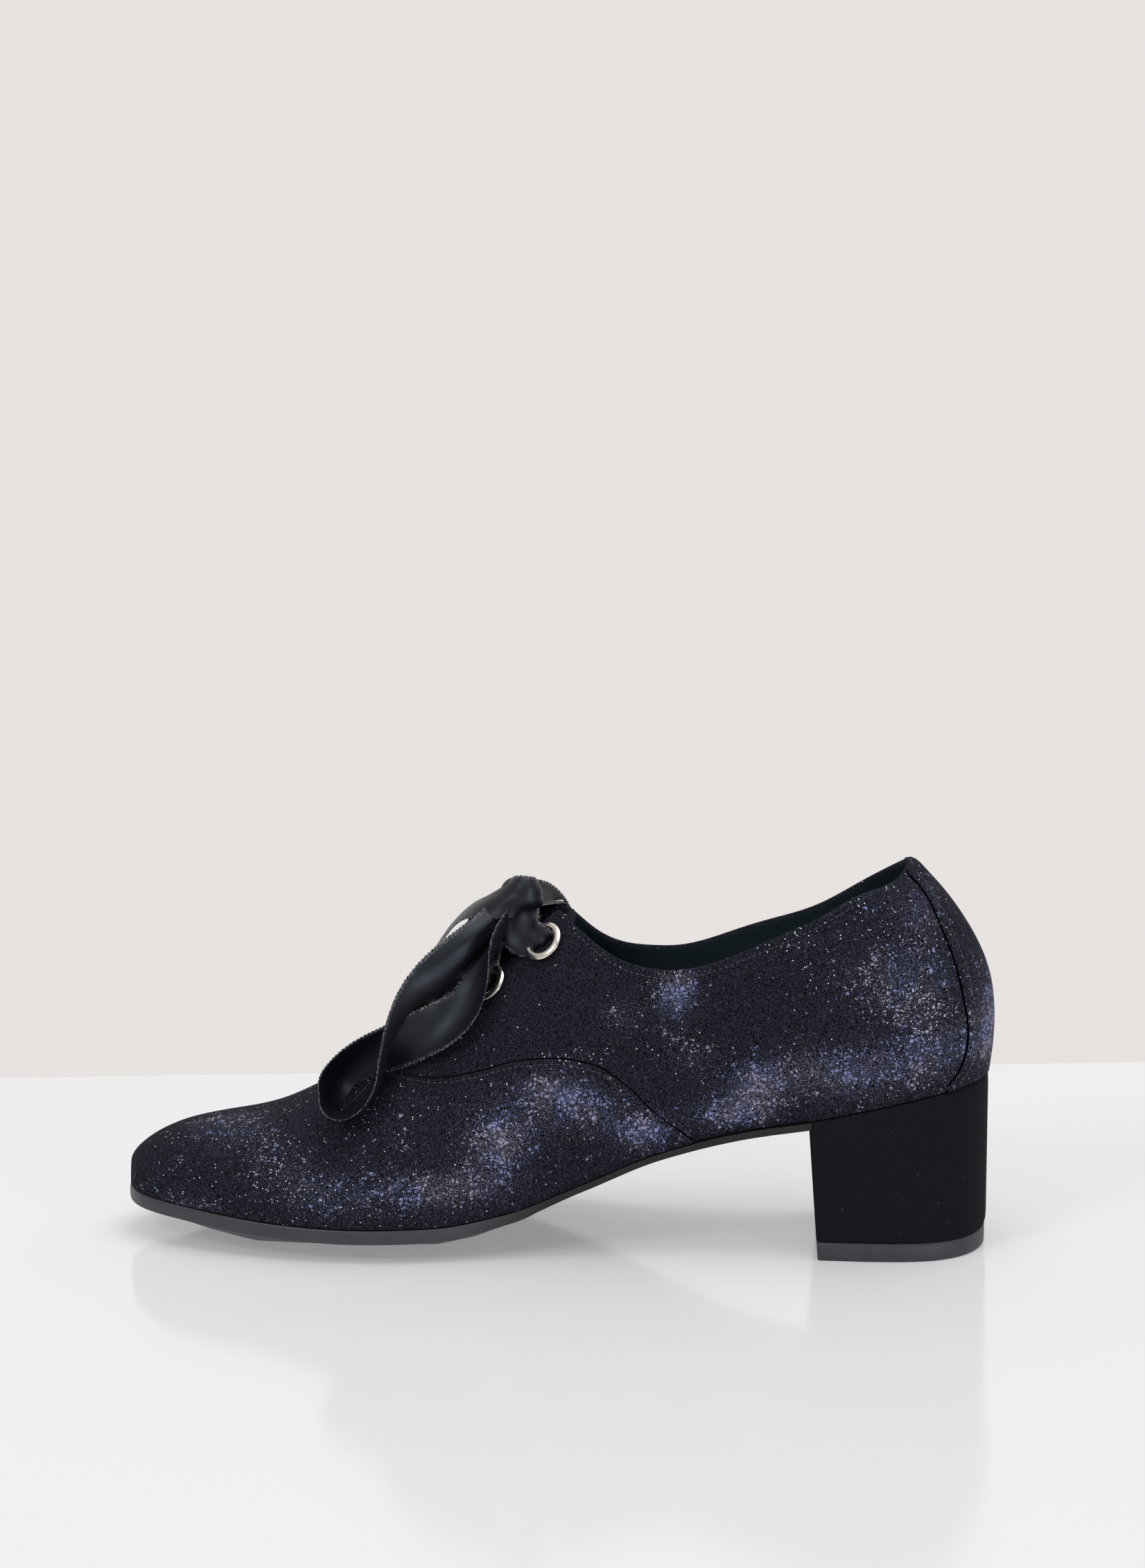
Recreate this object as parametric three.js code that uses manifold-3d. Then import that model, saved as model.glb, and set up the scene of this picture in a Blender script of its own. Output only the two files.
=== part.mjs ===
// A woman's right lace-up shoe with a block heel, tied with a satin ribbon.
// Millimetres, +Z up. Inside this file x runs from the toe (0) to the heel, near (the inner side
// of the foot) is -y and far is +y. The finished group stands on z = 0, centred over its footprint.
import * as THREE from 'three';
import { mergeVertices } from 'three/addons/utils/BufferGeometryUtils.js';
import Module from 'manifold-3d';

const wasm = await Module();
wasm.setup();

// Driving sizes of the last and of the pieces
const LAST_LENGTH = 245.6; // toe tip to the back of the heel
const BALL_WIDTH = 80;
const INSTEP_HEIGHT = 84; // top of the facings above the sole
const BACK_HEIGHT = 64; // topline at the back above the heel seat
const HEEL_SEAT = 50.6; // height of the seat at the back above the floor
const FOREFOOT_HEIGHT = 10; // top of the sole at the ball above the floor
const TOE_SPRING = 4;
const WALL = 2; // leather and lining together
const OVERLAY = 0.8; // how far the vamp and the back strip stand proud
const CLEARANCE = 0.3;
const SEAT_GAP = 0.45; // between the curved top of the sole or heel and what lies on it
const SOLE_MARGIN = 1; // the sole stands this far outside the upper
const BAND_FRONT = 4.6; // height of the sole's edge band at the forefoot
const BAND_WAIST = 2.3;
const WAIST_BLEND = 0.06; // share of LAST_LENGTH over which the tread has left the floor
const HEEL_LENGTH = 50.9; // breast to back
const BREAST_SLANT = 2.8; // the breast's foot lies this far behind its top
const TOP_PIECE = 5.4;
const TOP_PIECE_INSET = 0.4;
const INSOLE_THICKNESS = 3;
const TONGUE_THICKNESS = 1.6;
const THROAT_START = 76; // from the toe tip to the end of the throat
const FACING_TOP = 123; // from the toe tip to the top corner of the facings
const THROAT_GAP = 8;
const EYELET_OUTER = 12;
const EYELET_HOLE = 7;
const EYELET_WALL = 0.6;
const EYELET_LIP = 0.9;
const EYELET_BACK = 1.8; // room under the leather for the rolled backs
const EYELET_SAG = 0.8; // the leather curves away under the flat outer lip
const EYELET_REACH = 15; // eyelet centre to the middle of the throat, along the leather
const RIBBON_WIDTH = 13;
const RIBBON_THICKNESS = 1;

// Sections of the last, toe to heel. along is a share of LAST_LENGTH. near and far are the
// half widths of the bottom as shares of BALL_WIDTH. nearRise and farRise are shares of the
// climb from forefoot to heel seat, spring of TOE_SPRING, crest of INSTEP_HEIGHT. rise and flat
// are the lengths of the curve's handles and bulge is how far the wall leans out.
const LAST = [
  { along: 0, near: -0.03, far: 0.03, nearRise: 0, farRise: 0, spring: 1, crest: 0.06, rise: 0.6, flat: 0.6, bulge: 0 },
  { along: 0.02, near: 0.15, far: 0.2, nearRise: 0, farRise: 0, spring: 0.93, crest: 0.14, rise: 0.6, flat: 0.6, bulge: 0.004 },
  { along: 0.057, near: 0.235, far: 0.295, nearRise: 0, farRise: 0, spring: 0.75, crest: 0.203, rise: 0.58, flat: 0.6, bulge: 0.012 },
  { along: 0.11, near: 0.312, far: 0.388, nearRise: 0, farRise: 0, spring: 0.45, crest: 0.253, rise: 0.56, flat: 0.58, bulge: 0.018 },
  { along: 0.18, near: 0.388, far: 0.48, nearRise: 0, farRise: 0, spring: 0.16, crest: 0.312, rise: 0.52, flat: 0.56, bulge: 0.02 },
  { along: 0.27, near: 0.429, far: 0.556, nearRise: 0, farRise: 0, spring: 0, crest: 0.465, rise: 0.47, flat: 0.56, bulge: 0.02 },
  { along: 0.36, near: 0.412, far: 0.575, nearRise: 0.01, farRise: 0, spring: 0, crest: 0.675, rise: 0.47, flat: 0.66, bulge: 0.02 },
  { along: 0.44, near: 0.362, far: 0.537, nearRise: 0.085, farRise: 0.01, spring: 0, crest: 0.862, rise: 0.48, flat: 0.72, bulge: 0.03 },
  { along: 0.53, near: 0.319, far: 0.462, nearRise: 0.285, farRise: 0.13, spring: 0, crest: 1.0, rise: 0.5, flat: 0.75, bulge: 0.045 },
  { along: 0.62, near: 0.3, far: 0.394, nearRise: 0.51, farRise: 0.36, spring: 0, crest: 1.085, rise: 0.5, flat: 0.78, bulge: 0.055 },
  { along: 0.72, near: 0.302, far: 0.348, nearRise: 0.67, farRise: 0.6, spring: 0, crest: 1.09, rise: 0.5, flat: 0.76, bulge: 0.055 },
  { along: 0.8, near: 0.322, far: 0.335, nearRise: 0.755, farRise: 0.72, spring: 0, crest: 1.07, rise: 0.48, flat: 0.7, bulge: 0.055 },
  { along: 0.88, near: 0.332, far: 0.332, nearRise: 0.86, farRise: 0.85, spring: 0, crest: 1.04, rise: 0.46, flat: 0.6, bulge: 0.05 },
  { along: 0.94, near: 0.303, far: 0.303, nearRise: 0.94, farRise: 0.94, spring: 0, crest: 1, rise: 0.46, flat: 0.5, bulge: 0.035 },
  { along: 0.98, near: 0.206, far: 0.206, nearRise: 0.99, farRise: 0.99, spring: 0, crest: 0.96, rise: 0.46, flat: 0.45, bulge: 0.015 },
  { along: 1, near: 0, far: 0, nearRise: 1, farRise: 1, spring: 0, crest: 0.94, rise: 0.46, flat: 0.45, bulge: 0 },
];

// How far the back of the last leans forward. up is a share of BACK_HEIGHT above the heel seat,
// lean a share of BACK_HEIGHT.
const BACK_CURVE = [
  { up: -0.8, lean: 0.018 },
  { up: 0, lean: 0.018 },
  { up: 0.12, lean: 0.004 },
  { up: 0.26, lean: 0 },
  { up: 0.4, lean: 0.016 },
  { up: 0.52, lean: 0.055 },
  { up: 0.66, lean: 0.131 },
  { up: 0.79, lean: 0.225 },
  { up: 0.92, lean: 0.342 },
  { up: 1.3, lean: 0.64 },
];
const BACK_LEAN_FROM = 0.6; // share of LAST_LENGTH where the stations start to lean

// The topline on the near and the far side: heights above the bottom edge as shares of BACK_HEIGHT.
const TOPLINE = [
  { along: 0.44, near: 1.5, far: 1.66 },
  { along: 0.497, near: 1.22, far: 1.3 },
  { along: 0.525, near: 1.115, far: 1.13 },
  { along: 0.56, near: 0.97, far: 0.98 },
  { along: 0.6, near: 0.85, far: 0.88 },
  { along: 0.64, near: 0.79, far: 0.82 },
  { along: 0.69, near: 0.785, far: 0.8 },
  { along: 0.745, near: 0.835, far: 0.81 },
  { along: 0.8, near: 0.9, far: 0.835 },
  { along: 0.85, near: 0.96, far: 0.9 },
  { along: 0.892, near: 0.98, far: 0.975 },
  { along: 0.912, near: 1.025, far: 1.025 },
  { along: 1, near: 1.045, far: 1.045 },
];

// The vamp's back edge seen from the side. up is a share of INSTEP_HEIGHT above the floor.
const VAMP_EDGE = [
  { along: 0.297, up: 0.9 },
  { along: 0.299, up: 0.65 },
  { along: 0.317, up: 0.605 },
  { along: 0.362, up: 0.608 },
  { along: 0.412, up: 0.636 },
  { along: 0.457, up: 0.672 },
  { along: 0.503, up: 0.684 },
  { along: 0.544, up: 0.664 },
  { along: 0.58, up: 0.598 },
  { along: 0.615, up: 0.498 },
  { along: 0.655, up: 0.41 },
  { along: 0.695, up: 0.3 },
];

// The back strip's front edge seen from the side. up is a share of BACK_HEIGHT above the seat.
const STRIP_EDGE = [
  { along: 0.9, up: -0.25 },
  { along: 0.945, up: -0.03 },
  { along: 0.96, up: 0.04 },
  { along: 0.971, up: 0.14 },
  { along: 0.972, up: 0.27 },
  { along: 0.967, up: 0.38 },
  { along: 0.956, up: 0.54 },
  { along: 0.937, up: 0.71 },
  { along: 0.918, up: 0.835 },
  { along: 0.895, up: 0.925 },
];
const STRIP_TOP = 0.925; // share of BACK_HEIGHT

// The underside of the sole down its middle: height as a share of FOREFOOT_HEIGHT. Below 0 it
// lies flat on the floor. crown is how much higher the edges lie, a share of FOREFOOT_HEIGHT.
const TREAD = [
  { along: 0, height: 0.98, crown: 0 },
  { along: 0.057, height: 0.52, crown: 0.4 },
  { along: 0.11, height: 0.19, crown: 0.52 },
  { along: 0.18, height: -0.06, crown: 0.54 },
  { along: 0.34, height: -0.06, crown: 0.54 },
  { along: 0.4, height: 0.22, crown: 0.42 },
  { along: 0.45, height: 0.62, crown: 0.22 },
];

// Eyelet centres down the facings, as shares of the throat's length from its end to its top.
const EYELET_ROWS = [0.25, 0.585, 0.92];

// The bow's loops and tails, from the knot round and back, in mm from the knot's middle. ax, ay, az
// point across the ribbon, and wide is its gathered width as a share.
const NEAR_LOOP = [
  { x: -4.4, y: -2.5, z: -4.8, ax: -0.56, ay: -0.51, az: 0.66, wide: 0.45 },
  { x: -6.6, y: -5.5, z: -8, ax: -0.49, ay: -0.69, az: 0.53, wide: 0.6 },
  { x: -10.5, y: -11.5, z: -11.4, ax: -0.48, ay: -0.56, az: 0.68, wide: 0.8 },
  { x: -14.9, y: -14.2, z: -15.1, ax: -0.58, ay: -0.45, az: 0.68, wide: 0.95 },
  { x: -19.9, y: -16, z: -19.2, ax: -0.59, ay: -0.4, az: 0.71, wide: 1 },
  { x: -24.5, y: -18, z: -23.4, ax: -0.55, ay: -0.52, az: 0.66, wide: 1 },
  { x: -28.7, y: -20, z: -27.7, ax: -0.36, ay: -0.71, az: 0.6, wide: 1 },
  { x: -32, y: -22, z: -31.8, ax: -0.19, ay: -0.85, az: 0.5, wide: 1 },
  { x: -34, y: -23.5, z: -35.8, ax: -0.06, ay: -0.91, az: 0.41, wide: 1 },
  { x: -35.6, y: -24.5, z: -39.9, ax: 0.04, ay: -0.95, az: 0.32, wide: 1 },
  { x: -36.5, y: -25.1, z: -43.2, ax: 0.08, ay: -0.97, az: 0.25, wide: 1 },
  { x: -37.4, y: -25.5, z: -46.7, ax: 0.13, ay: -0.97, az: 0.19, wide: 0.95 },
  { x: -39.6, y: -25.9, z: -50.8, ax: 0.4, ay: -0.9, az: 0.19, wide: 0.9 },
  { x: -41.6, y: -26.3, z: -55.3, ax: 0.46, ay: -0.89, az: 0.07, wide: 0.85 },
  { x: -44.4, y: -27.1, z: -58.4, ax: 0.36, ay: -0.92, az: -0.15, wide: 0.8 },
  { x: -47.9, y: -25.9, z: -60, ax: 0.28, ay: -0.9, az: -0.34, wide: 0.7 },
  { x: -51, y: -22.9, z: -58.8, ax: -0.4, ay: -0.3, az: -0.85, wide: 0.75 },
  { x: -52.6, y: -16.5, z: -57.4, ax: -0.92, ay: 0, az: -0.39, wide: 0.8 },
  { x: -53.5, y: -12.5, z: -55.7, ax: -0.66, ay: 0.73, az: -0.17, wide: 0.85 },
  { x: -52.6, y: -11, z: -53.1, ax: -0.62, ay: 0.78, az: 0.09, wide: 0.9 },
  { x: -50, y: -9.5, z: -50.3, ax: -0.53, ay: 0.8, az: 0.29, wide: 1 },
  { x: -46.2, y: -9, z: -47.7, ax: -0.43, ay: 0.77, az: 0.48, wide: 1 },
  { x: -41.4, y: -10.3, z: -44.9, ax: -0.3, ay: 0.71, az: 0.63, wide: 1 },
  { x: -36.1, y: -11.4, z: -42.7, ax: -0.19, ay: 0.69, az: 0.7, wide: 1 },
  { x: -29.9, y: -14.6, z: -39.4, ax: -0.21, ay: 0.57, az: 0.79, wide: 1 },
  { x: -23.3, y: -19.5, z: -35.4, ax: -0.25, ay: 0.4, az: 0.88, wide: 1 },
  { x: -17.1, y: -17, z: -33.6, ax: -0.31, ay: 0.7, az: 0.64, wide: 1 },
  { x: -12, y: -18, z: -28.5, ax: -0.47, ay: 0.77, az: 0.42, wide: 1 },
  { x: -10.2, y: -18.8, z: -22.5, ax: -0.43, ay: 0.81, az: 0.4, wide: 0.95 },
  { x: -9, y: -16.5, z: -18.9, ax: -0.27, ay: 0.94, az: 0.21, wide: 0.9 },
  { x: -7.6, y: -14.5, z: -15.3, ax: -0.17, ay: 0.98, az: 0.07, wide: 0.8 },
  { x: -6.3, y: -12, z: -12, ax: -0.13, ay: 0.99, az: -0.03, wide: 0.7 },
  { x: -4.9, y: -9, z: -9.3, ax: -0.14, ay: 0.99, az: -0.08, wide: 0.55 },
  { x: -3, y: -4.5, z: -6.6, ax: -0.19, ay: 0.98, az: -0.07, wide: 0.42 },
];
const FAR_LOOP = [
  { x: 0.9, y: 2.5, z: -2.3, ax: 0.36, ay: 0, az: 0.93, wide: 0.5 },
  { x: -3.7, y: 6.5, z: -2.5, ax: 0.12, ay: 0, az: 0.99, wide: 0.6 },
  { x: -8.4, y: 10, z: -3.8, ax: -0.06, ay: 0.94, az: 0.34, wide: 0.8 },
  { x: -12, y: 13, z: -5.8, ax: -0.13, ay: 0.99, az: -0.02, wide: 0.95 },
  { x: -16, y: 16, z: -9.3, ax: -0.13, ay: 0.99, az: -0.09, wide: 1 },
  { x: -19.4, y: 18.5, z: -13.5, ax: -0.15, ay: 0.97, az: -0.21, wide: 1 },
  { x: -22.7, y: 21, z: -17.9, ax: -0.16, ay: 0.95, az: -0.28, wide: 1 },
  { x: -25.4, y: 23, z: -22.7, ax: -0.15, ay: 0.95, az: -0.27, wide: 1 },
  { x: -27.9, y: 25.5, z: -28.4, ax: -0.14, ay: 0.96, az: -0.25, wide: 1 },
  { x: -30.4, y: 28, z: -33.6, ax: -0.14, ay: 0.96, az: -0.25, wide: 1 },
  { x: -33.2, y: 29.5, z: -37.9, ax: -0.14, ay: 0.97, az: -0.21, wide: 1 },
  { x: -36.4, y: 30, z: -41.8, ax: 0.1, ay: 0.9, az: 0.2, wide: 1 },
  { x: -40.4, y: 28.5, z: -45, ax: 0.3, ay: 0.7, az: 0.5, wide: 1 },
  { x: -43, y: 24.5, z: -45.2, ax: 0.7, ay: 0.4, az: 0.4, wide: 1 },
  { x: -40.6, y: 20.5, z: -41.6, ax: 0.5, ay: 0.8, az: 0.1, wide: 1 },
  { x: -35.4, y: 18.1, z: -36.2, ax: 0.3, ay: 0.9, az: 0, wide: 1 },
  { x: -29.6, y: 16, z: -30, ax: 0.2, ay: 0.95, az: 0, wide: 1 },
  { x: -23.6, y: 13.5, z: -23.6, ax: 0.15, ay: 0.95, az: 0, wide: 1 },
  { x: -18, y: 10.5, z: -17.6, ax: 0.1, ay: 0.95, az: 0, wide: 0.85 },
  { x: -12.6, y: 7.5, z: -12, ax: 0.1, ay: 0.95, az: 0, wide: 0.65 },
  { x: -8, y: 5, z: -7.6, ax: 0.1, ay: 0.95, az: 0.1, wide: 0.45 },
  { x: -4, y: 3, z: -4, ax: 0.1, ay: 0.95, az: 0.1, wide: 0.4 },
];
const FRONT_TAIL = [
  { x: -0.5, y: 7.9, z: -2, ax: 0.9, ay: 0.1, az: 0.4, wide: 0.4 },
  { x: -3.8, y: 11.7, z: -5, ax: 0.9, ay: 0.2, az: 0.3, wide: 0.45 },
  { x: -7.6, y: 14.3, z: -8.6, ax: 0.95, ay: 0.2, az: 0.2, wide: 0.6 },
  { x: -9.8, y: 18.5, z: -12.6, ax: 0.95, ay: 0.2, az: 0.1, wide: 0.85 },
  { x: -10.8, y: 22.9, z: -17.2, ax: 0.95, ay: 0.2, az: 0.1, wide: 1 },
  { x: -11.2, y: 27.1, z: -22.8, ax: 1, ay: 0.1, az: 0, wide: 1 },
  { x: -11.6, y: 31.3, z: -29, ax: 1, ay: 0.1, az: 0, wide: 1 },
  { x: -12.4, y: 35.3, z: -35.6, ax: 0.95, ay: 0.2, az: 0, wide: 1 },
  { x: -13.6, y: 38.9, z: -42.6, ax: 0.95, ay: 0.3, az: 0, wide: 1 },
  { x: -15.2, y: 42.3, z: -49.8, ax: 0.95, ay: 0.3, az: 0, wide: 1 },
  { x: -16.8, y: 45.3, z: -57.2, ax: 0.95, ay: 0.3, az: 0, wide: 1 },
  { x: -18.4, y: 47.7, z: -64.8, ax: 0.95, ay: 0.3, az: 0, wide: 1 },
];
const BACK_TAIL = [
  { x: 1.6, y: 2.9, z: 1.4, ax: 1, ay: 0, az: 0.2, wide: 0.4 },
  { x: 4.4, y: 6.3, z: 3, ax: 1, ay: 0, az: 0.2, wide: 0.5 },
  { x: 6.6, y: 11, z: 3.9, ax: 1, ay: -0.2, az: 0.1, wide: 0.6 },
  { x: 8.6, y: 16.5, z: 1.9, ax: 1, ay: -0.2, az: 0.1, wide: 0.8 },
  { x: 10.2, y: 22, z: -4.1, ax: 1, ay: -0.2, az: 0, wide: 1 },
  { x: 11.4, y: 26.5, z: -11.6, ax: 1, ay: -0.1, az: 0, wide: 1 },
  { x: 12.2, y: 30.5, z: -19.6, ax: 1, ay: 0, az: 0, wide: 1 },
  { x: 12.8, y: 34.1, z: -27.6, ax: 1, ay: 0, az: 0, wide: 1 },
  { x: 13.2, y: 37.5, z: -35.6, ax: 1, ay: 0, az: 0, wide: 1 },
  { x: 13.6, y: 40.5, z: -43.6, ax: 1, ay: 0, az: 0, wide: 1 },
  { x: 14, y: 43.1, z: -51.6, ax: 1, ay: 0, az: 0, wide: 1 },
  { x: 14.6, y: 45.1, z: -59.6, ax: 1, ay: 0, az: 0, wide: 1 },
];
const KNOT_PLACE = 0.745; // share of the throat's length from its end to its top
const KNOT_SEAT = 7.35; // room for the ribbons between the last's crest and the knot
const KNOT = { long: 13, broad: 12, high: 11, near: 1.4 }; // near: off the crest, to the inner side

const FINE = 0.01;
const STATIONS = 34;
const ARC_STEPS = 12; // steps from the bottom edge to the crest
const SOLE_STATIONS = 26;
const ROUND_SEGMENTS = 14;

// A smooth curve through (at, value) rows: the natural cubic spline
function spline(ats, values) {
  const n = ats.length;
  const bend = new Array(n).fill(0);
  const below = new Array(n).fill(0);
  for (let i = 1; i < n - 1; i++) {
    const share = (ats[i] - ats[i - 1]) / (ats[i + 1] - ats[i - 1]);
    const pivot = share * below[i - 1] + 2;
    const right = (values[i + 1] - values[i]) / (ats[i + 1] - ats[i]);
    const left = (values[i] - values[i - 1]) / (ats[i] - ats[i - 1]);
    below[i] = (share - 1) / pivot;
    bend[i] = ((6 * (right - left)) / (ats[i + 1] - ats[i - 1]) - share * bend[i - 1]) / pivot;
  }
  for (let i = n - 2; i >= 0; i--) bend[i] += below[i] * bend[i + 1];
  return (at) => {
    const x = Math.min(Math.max(at, ats[0]), ats[n - 1]);
    let k = 0;
    while (k < n - 2 && x > ats[k + 1]) k++;
    const width = ats[k + 1] - ats[k];
    const a = (ats[k + 1] - x) / width;
    const b = 1 - a;
    const curve = ((a ** 3 - a) * bend[k] + (b ** 3 - b) * bend[k + 1]) * (width * width) / 6;
    return a * values[k] + b * values[k + 1] + curve;
  };
}

// A curve of straight pieces with soft corners: no overshoot
function soft(ats, values) {
  const slope = ats.map((_, i) => {
    if (i === 0 || i === ats.length - 1) return 0;
    const left = (values[i] - values[i - 1]) / (ats[i] - ats[i - 1]);
    const right = (values[i + 1] - values[i]) / (ats[i + 1] - ats[i]);
    return left * right <= 0 ? 0 : (2 * left * right) / (left + right);
  });
  return (at) => {
    const x = Math.min(Math.max(at, ats[0]), ats[ats.length - 1]);
    let k = 0;
    while (k < ats.length - 2 && x > ats[k + 1]) k++;
    const width = ats[k + 1] - ats[k];
    const q = (x - ats[k]) / width;
    return (
      values[k] * (1 + 2 * q) * (1 - q) ** 2 +
      slope[k] * width * q * (1 - q) ** 2 +
      values[k + 1] * q * q * (3 - 2 * q) +
      slope[k + 1] * width * q * q * (q - 1)
    );
  };
}

// Stations: s runs 0 to 1 from toe to heel and crowds the stations at both round ends
const stationAt = (along) => Math.acos(1 - 2 * along) / Math.PI;
const alongAt = (s) => (1 - Math.cos(Math.PI * s)) / 2;

const lastColumns = {};
for (const name of Object.keys(LAST[0])) {
  const make = name.endsWith('Rise') || name === 'spring' ? soft : spline;
  lastColumns[name] = make(LAST.map((row) => stationAt(row.along)), LAST.map((row) => row[name]));
}
const backLean = spline(BACK_CURVE.map((row) => row.up), BACK_CURVE.map((row) => row.lean));
const CLIMB = HEEL_SEAT - FOREFOOT_HEIGHT;

function smooth(low, high, x) {
  const q = Math.min(Math.max((x - low) / (high - low), 0), 1);
  return q * q * (3 - 2 * q);
}

// Height of the upper's bottom edge at a station; side is -1 near, +1 far
function seatHeight(s, side) {
  const rise = side < 0 ? lastColumns.nearRise(s) : lastColumns.farRise(s);
  return FOREFOOT_HEIGHT + TOE_SPRING * lastColumns.spring(s) + CLIMB * rise;
}

// x of a station at a height: the stations at the back follow the curve of the heel
function stationX(s, z) {
  const along = alongAt(s);
  const share = smooth(BACK_LEAN_FROM, 1, along);
  const lean = backLean((z - HEEL_SEAT) / BACK_HEIGHT);
  return LAST_LENGTH * along - BACK_HEIGHT * lean * share;
}

// Height of the foot's bed at a place in plan: ruled from the near to the far bottom edge
function bedHeight(x, y) {
  let along = x / LAST_LENGTH;
  for (let i = 0; i < 3; i++) {
    const lean = BACK_HEIGHT * BACK_CURVE[1].lean * smooth(BACK_LEAN_FROM, 1, Math.min(along, 1));
    along = (x + lean) / LAST_LENGTH;
  }
  const s = stationAt(Math.min(Math.max(along, 0), 1));
  const near = -BALL_WIDTH * lastColumns.near(s);
  const far = BALL_WIDTH * lastColumns.far(s);
  const share = far - near < 1 ? 0.5 : Math.min(Math.max((y - near) / (far - near), 0), 1);
  return THREE.MathUtils.lerp(seatHeight(s, -1), seatHeight(s, 1), share);
}

// The bottom edge of the upper, moved outwards by margin in plan
function edgePoint(s, side, margin = 0) {
  const y = (q) => side * BALL_WIDTH * (side < 0 ? lastColumns.near(q) : lastColumns.far(q));
  const x = (q) => stationX(q, seatHeight(q, side));
  const low = Math.max(s - 0.004, 0);
  const high = Math.min(s + 0.004, 1);
  const out = new THREE.Vector2(y(low) - y(high), x(high) - x(low)).multiplyScalar(side);
  if (s <= 0) out.set(-1, 0);
  if (s >= 1) out.set(1, 0);
  out.normalize();
  const place = new THREE.Vector2(x(s), y(s)).addScaledVector(out, margin);
  return new THREE.Vector3(place.x, place.y, bedHeight(place.x, place.y));
}

// A point of the bed on the way from one edge point to the middle of its station
function bedPoint(s, side, margin, share) {
  const edge = edgePoint(s, side, margin);
  const middle = edgePoint(s, -1, margin).add(edgePoint(s, 1, margin)).multiplyScalar(0.5);
  const point = edge.lerp(middle, share);
  point.z = bedHeight(point.x, point.y);
  return point;
}

// A point of the last. t runs -1 near bottom edge, 0 crest, +1 far bottom edge. On each side
// the section is one cubic curve from the bottom edge to the crest.
function lastPoint(s, t) {
  const side = t < 0 ? -1 : 1;
  const crestY = (lastColumns.far(s) - lastColumns.near(s)) * 0.14 * BALL_WIDTH;
  const startY = side * BALL_WIDTH * (side < 0 ? lastColumns.near(s) : lastColumns.far(s));
  const endY = s <= 0 ? startY : THREE.MathUtils.lerp(BALL_WIDTH * LAST[0].far, crestY, smooth(0, 0.3, s));
  const startZ = seatHeight(s, side);
  const middle = (seatHeight(s, -1) + seatHeight(s, 1)) / 2;
  const endZ = middle + INSTEP_HEIGHT * lastColumns.crest(s);
  const firstY = startY + side * BALL_WIDTH * lastColumns.bulge(s);
  const firstZ = startZ + (endZ - startZ) * lastColumns.rise(s);
  const secondY = endY + (startY - endY) * lastColumns.flat(s);
  const q = 1 - Math.abs(t);
  const p = 1 - q;
  const y = p ** 3 * startY + 3 * p * p * q * firstY + 3 * p * q * q * secondY + q ** 3 * endY;
  const z = p ** 3 * startZ + 3 * p * p * q * firstZ + 3 * p * q * q * endZ + q ** 3 * endZ;
  return new THREE.Vector3(stationX(s, z), y, z);
}

// The outward direction of the last's surface on one side of the crest
function sideNormal(s, t) {
  const at = Math.min(Math.max(s, 0.012), 0.988);
  const ds = lastPoint(at + 0.004, t).sub(lastPoint(at - 0.004, t));
  const high = Math.min(t + 0.01, 1);
  const low = Math.max(t - 0.01, -1);
  const dt = lastPoint(at, high).sub(lastPoint(at, low));
  return new THREE.Vector3().crossVectors(ds, dt).normalize();
}

// The same all round: both sides are averaged on the crest, and at the ends, where they meet
function lastNormal(s, t) {
  const onCrest = Math.abs(t) < 0.02;
  const atEnd = s <= 0 || s >= 1;
  if (!onCrest && !atEnd) return sideNormal(s, t);
  const across = Math.max(Math.abs(t), 0.02);
  const normal = sideNormal(s, -across).add(sideNormal(s, across));
  if (atEnd) normal.y = 0;
  return normal.normalize();
}

// The knot's middle stands over the crest, between the two upper pairs of eyelets
const knotAlong = THREE.MathUtils.lerp(THROAT_START, FACING_TOP, KNOT_PLACE);
const knotAt = lastPoint(stationAt(knotAlong / LAST_LENGTH), 0);
knotAt.add(new THREE.Vector3(0, -KNOT.near, KNOT_SEAT + KNOT.high / 2));

const shellPoint = (s, t, outset) => lastPoint(s, t).addScaledVector(lastNormal(s, t), outset);

// Geometry from a list of points and a list of triangles
function geometryOf(points, faces) {
  const geometry = new THREE.BufferGeometry();
  geometry.setAttribute('position', new THREE.Float32BufferAttribute(points.flatMap((p) => [p.x, p.y, p.z]), 3));
  geometry.setIndex(faces.flat());
  const merged = mergeVertices(geometry, 1e-3);
  const index = merged.index.array;
  const kept = [];
  for (let i = 0; i < index.length; i += 3) {
    const [a, b, c] = [index[i], index[i + 1], index[i + 2]];
    if (a !== b && b !== c && c !== a) kept.push(a, b, c);
  }
  const at = (i) => new THREE.Vector3().fromBufferAttribute(merged.attributes.position, kept[i]);
  let volume = 0;
  for (let i = 0; i < kept.length; i += 3) volume += at(i).dot(at(i + 1).cross(at(i + 2)));
  merged.setIndex(volume < 0 ? kept.reverse() : kept);
  return merged;
}

// Joins rings of points, all with the same count, into one closed body. Each open end is capped:
// a ring's points j and count-1-j face each other, so a cap is a strip between them.
function loft(rings, capped = true) {
  const count = rings[0].length;
  const faces = [];
  const at = (i, j) => i * count + ((j + count) % count);
  for (let i = 0; i + 1 < rings.length; i++) {
    for (let j = 0; j < count; j++) {
      faces.push([at(i, j), at(i + 1, j), at(i, j + 1)], [at(i, j + 1), at(i + 1, j), at(i + 1, j + 1)]);
    }
  }
  const last = rings.length - 1;
  for (let j = 0; capped && j < count / 2 - 1; j++) {
    const k = count - 1 - j;
    faces.push([at(0, j), at(0, j + 1), at(0, k)], [at(0, j + 1), at(0, k - 1), at(0, k)]);
    faces.push([at(last, j + 1), at(last, j), at(last, k)], [at(last, k - 1), at(last, j + 1), at(last, k)]);
  }
  return geometryOf(rings.flat(), faces);
}

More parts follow.
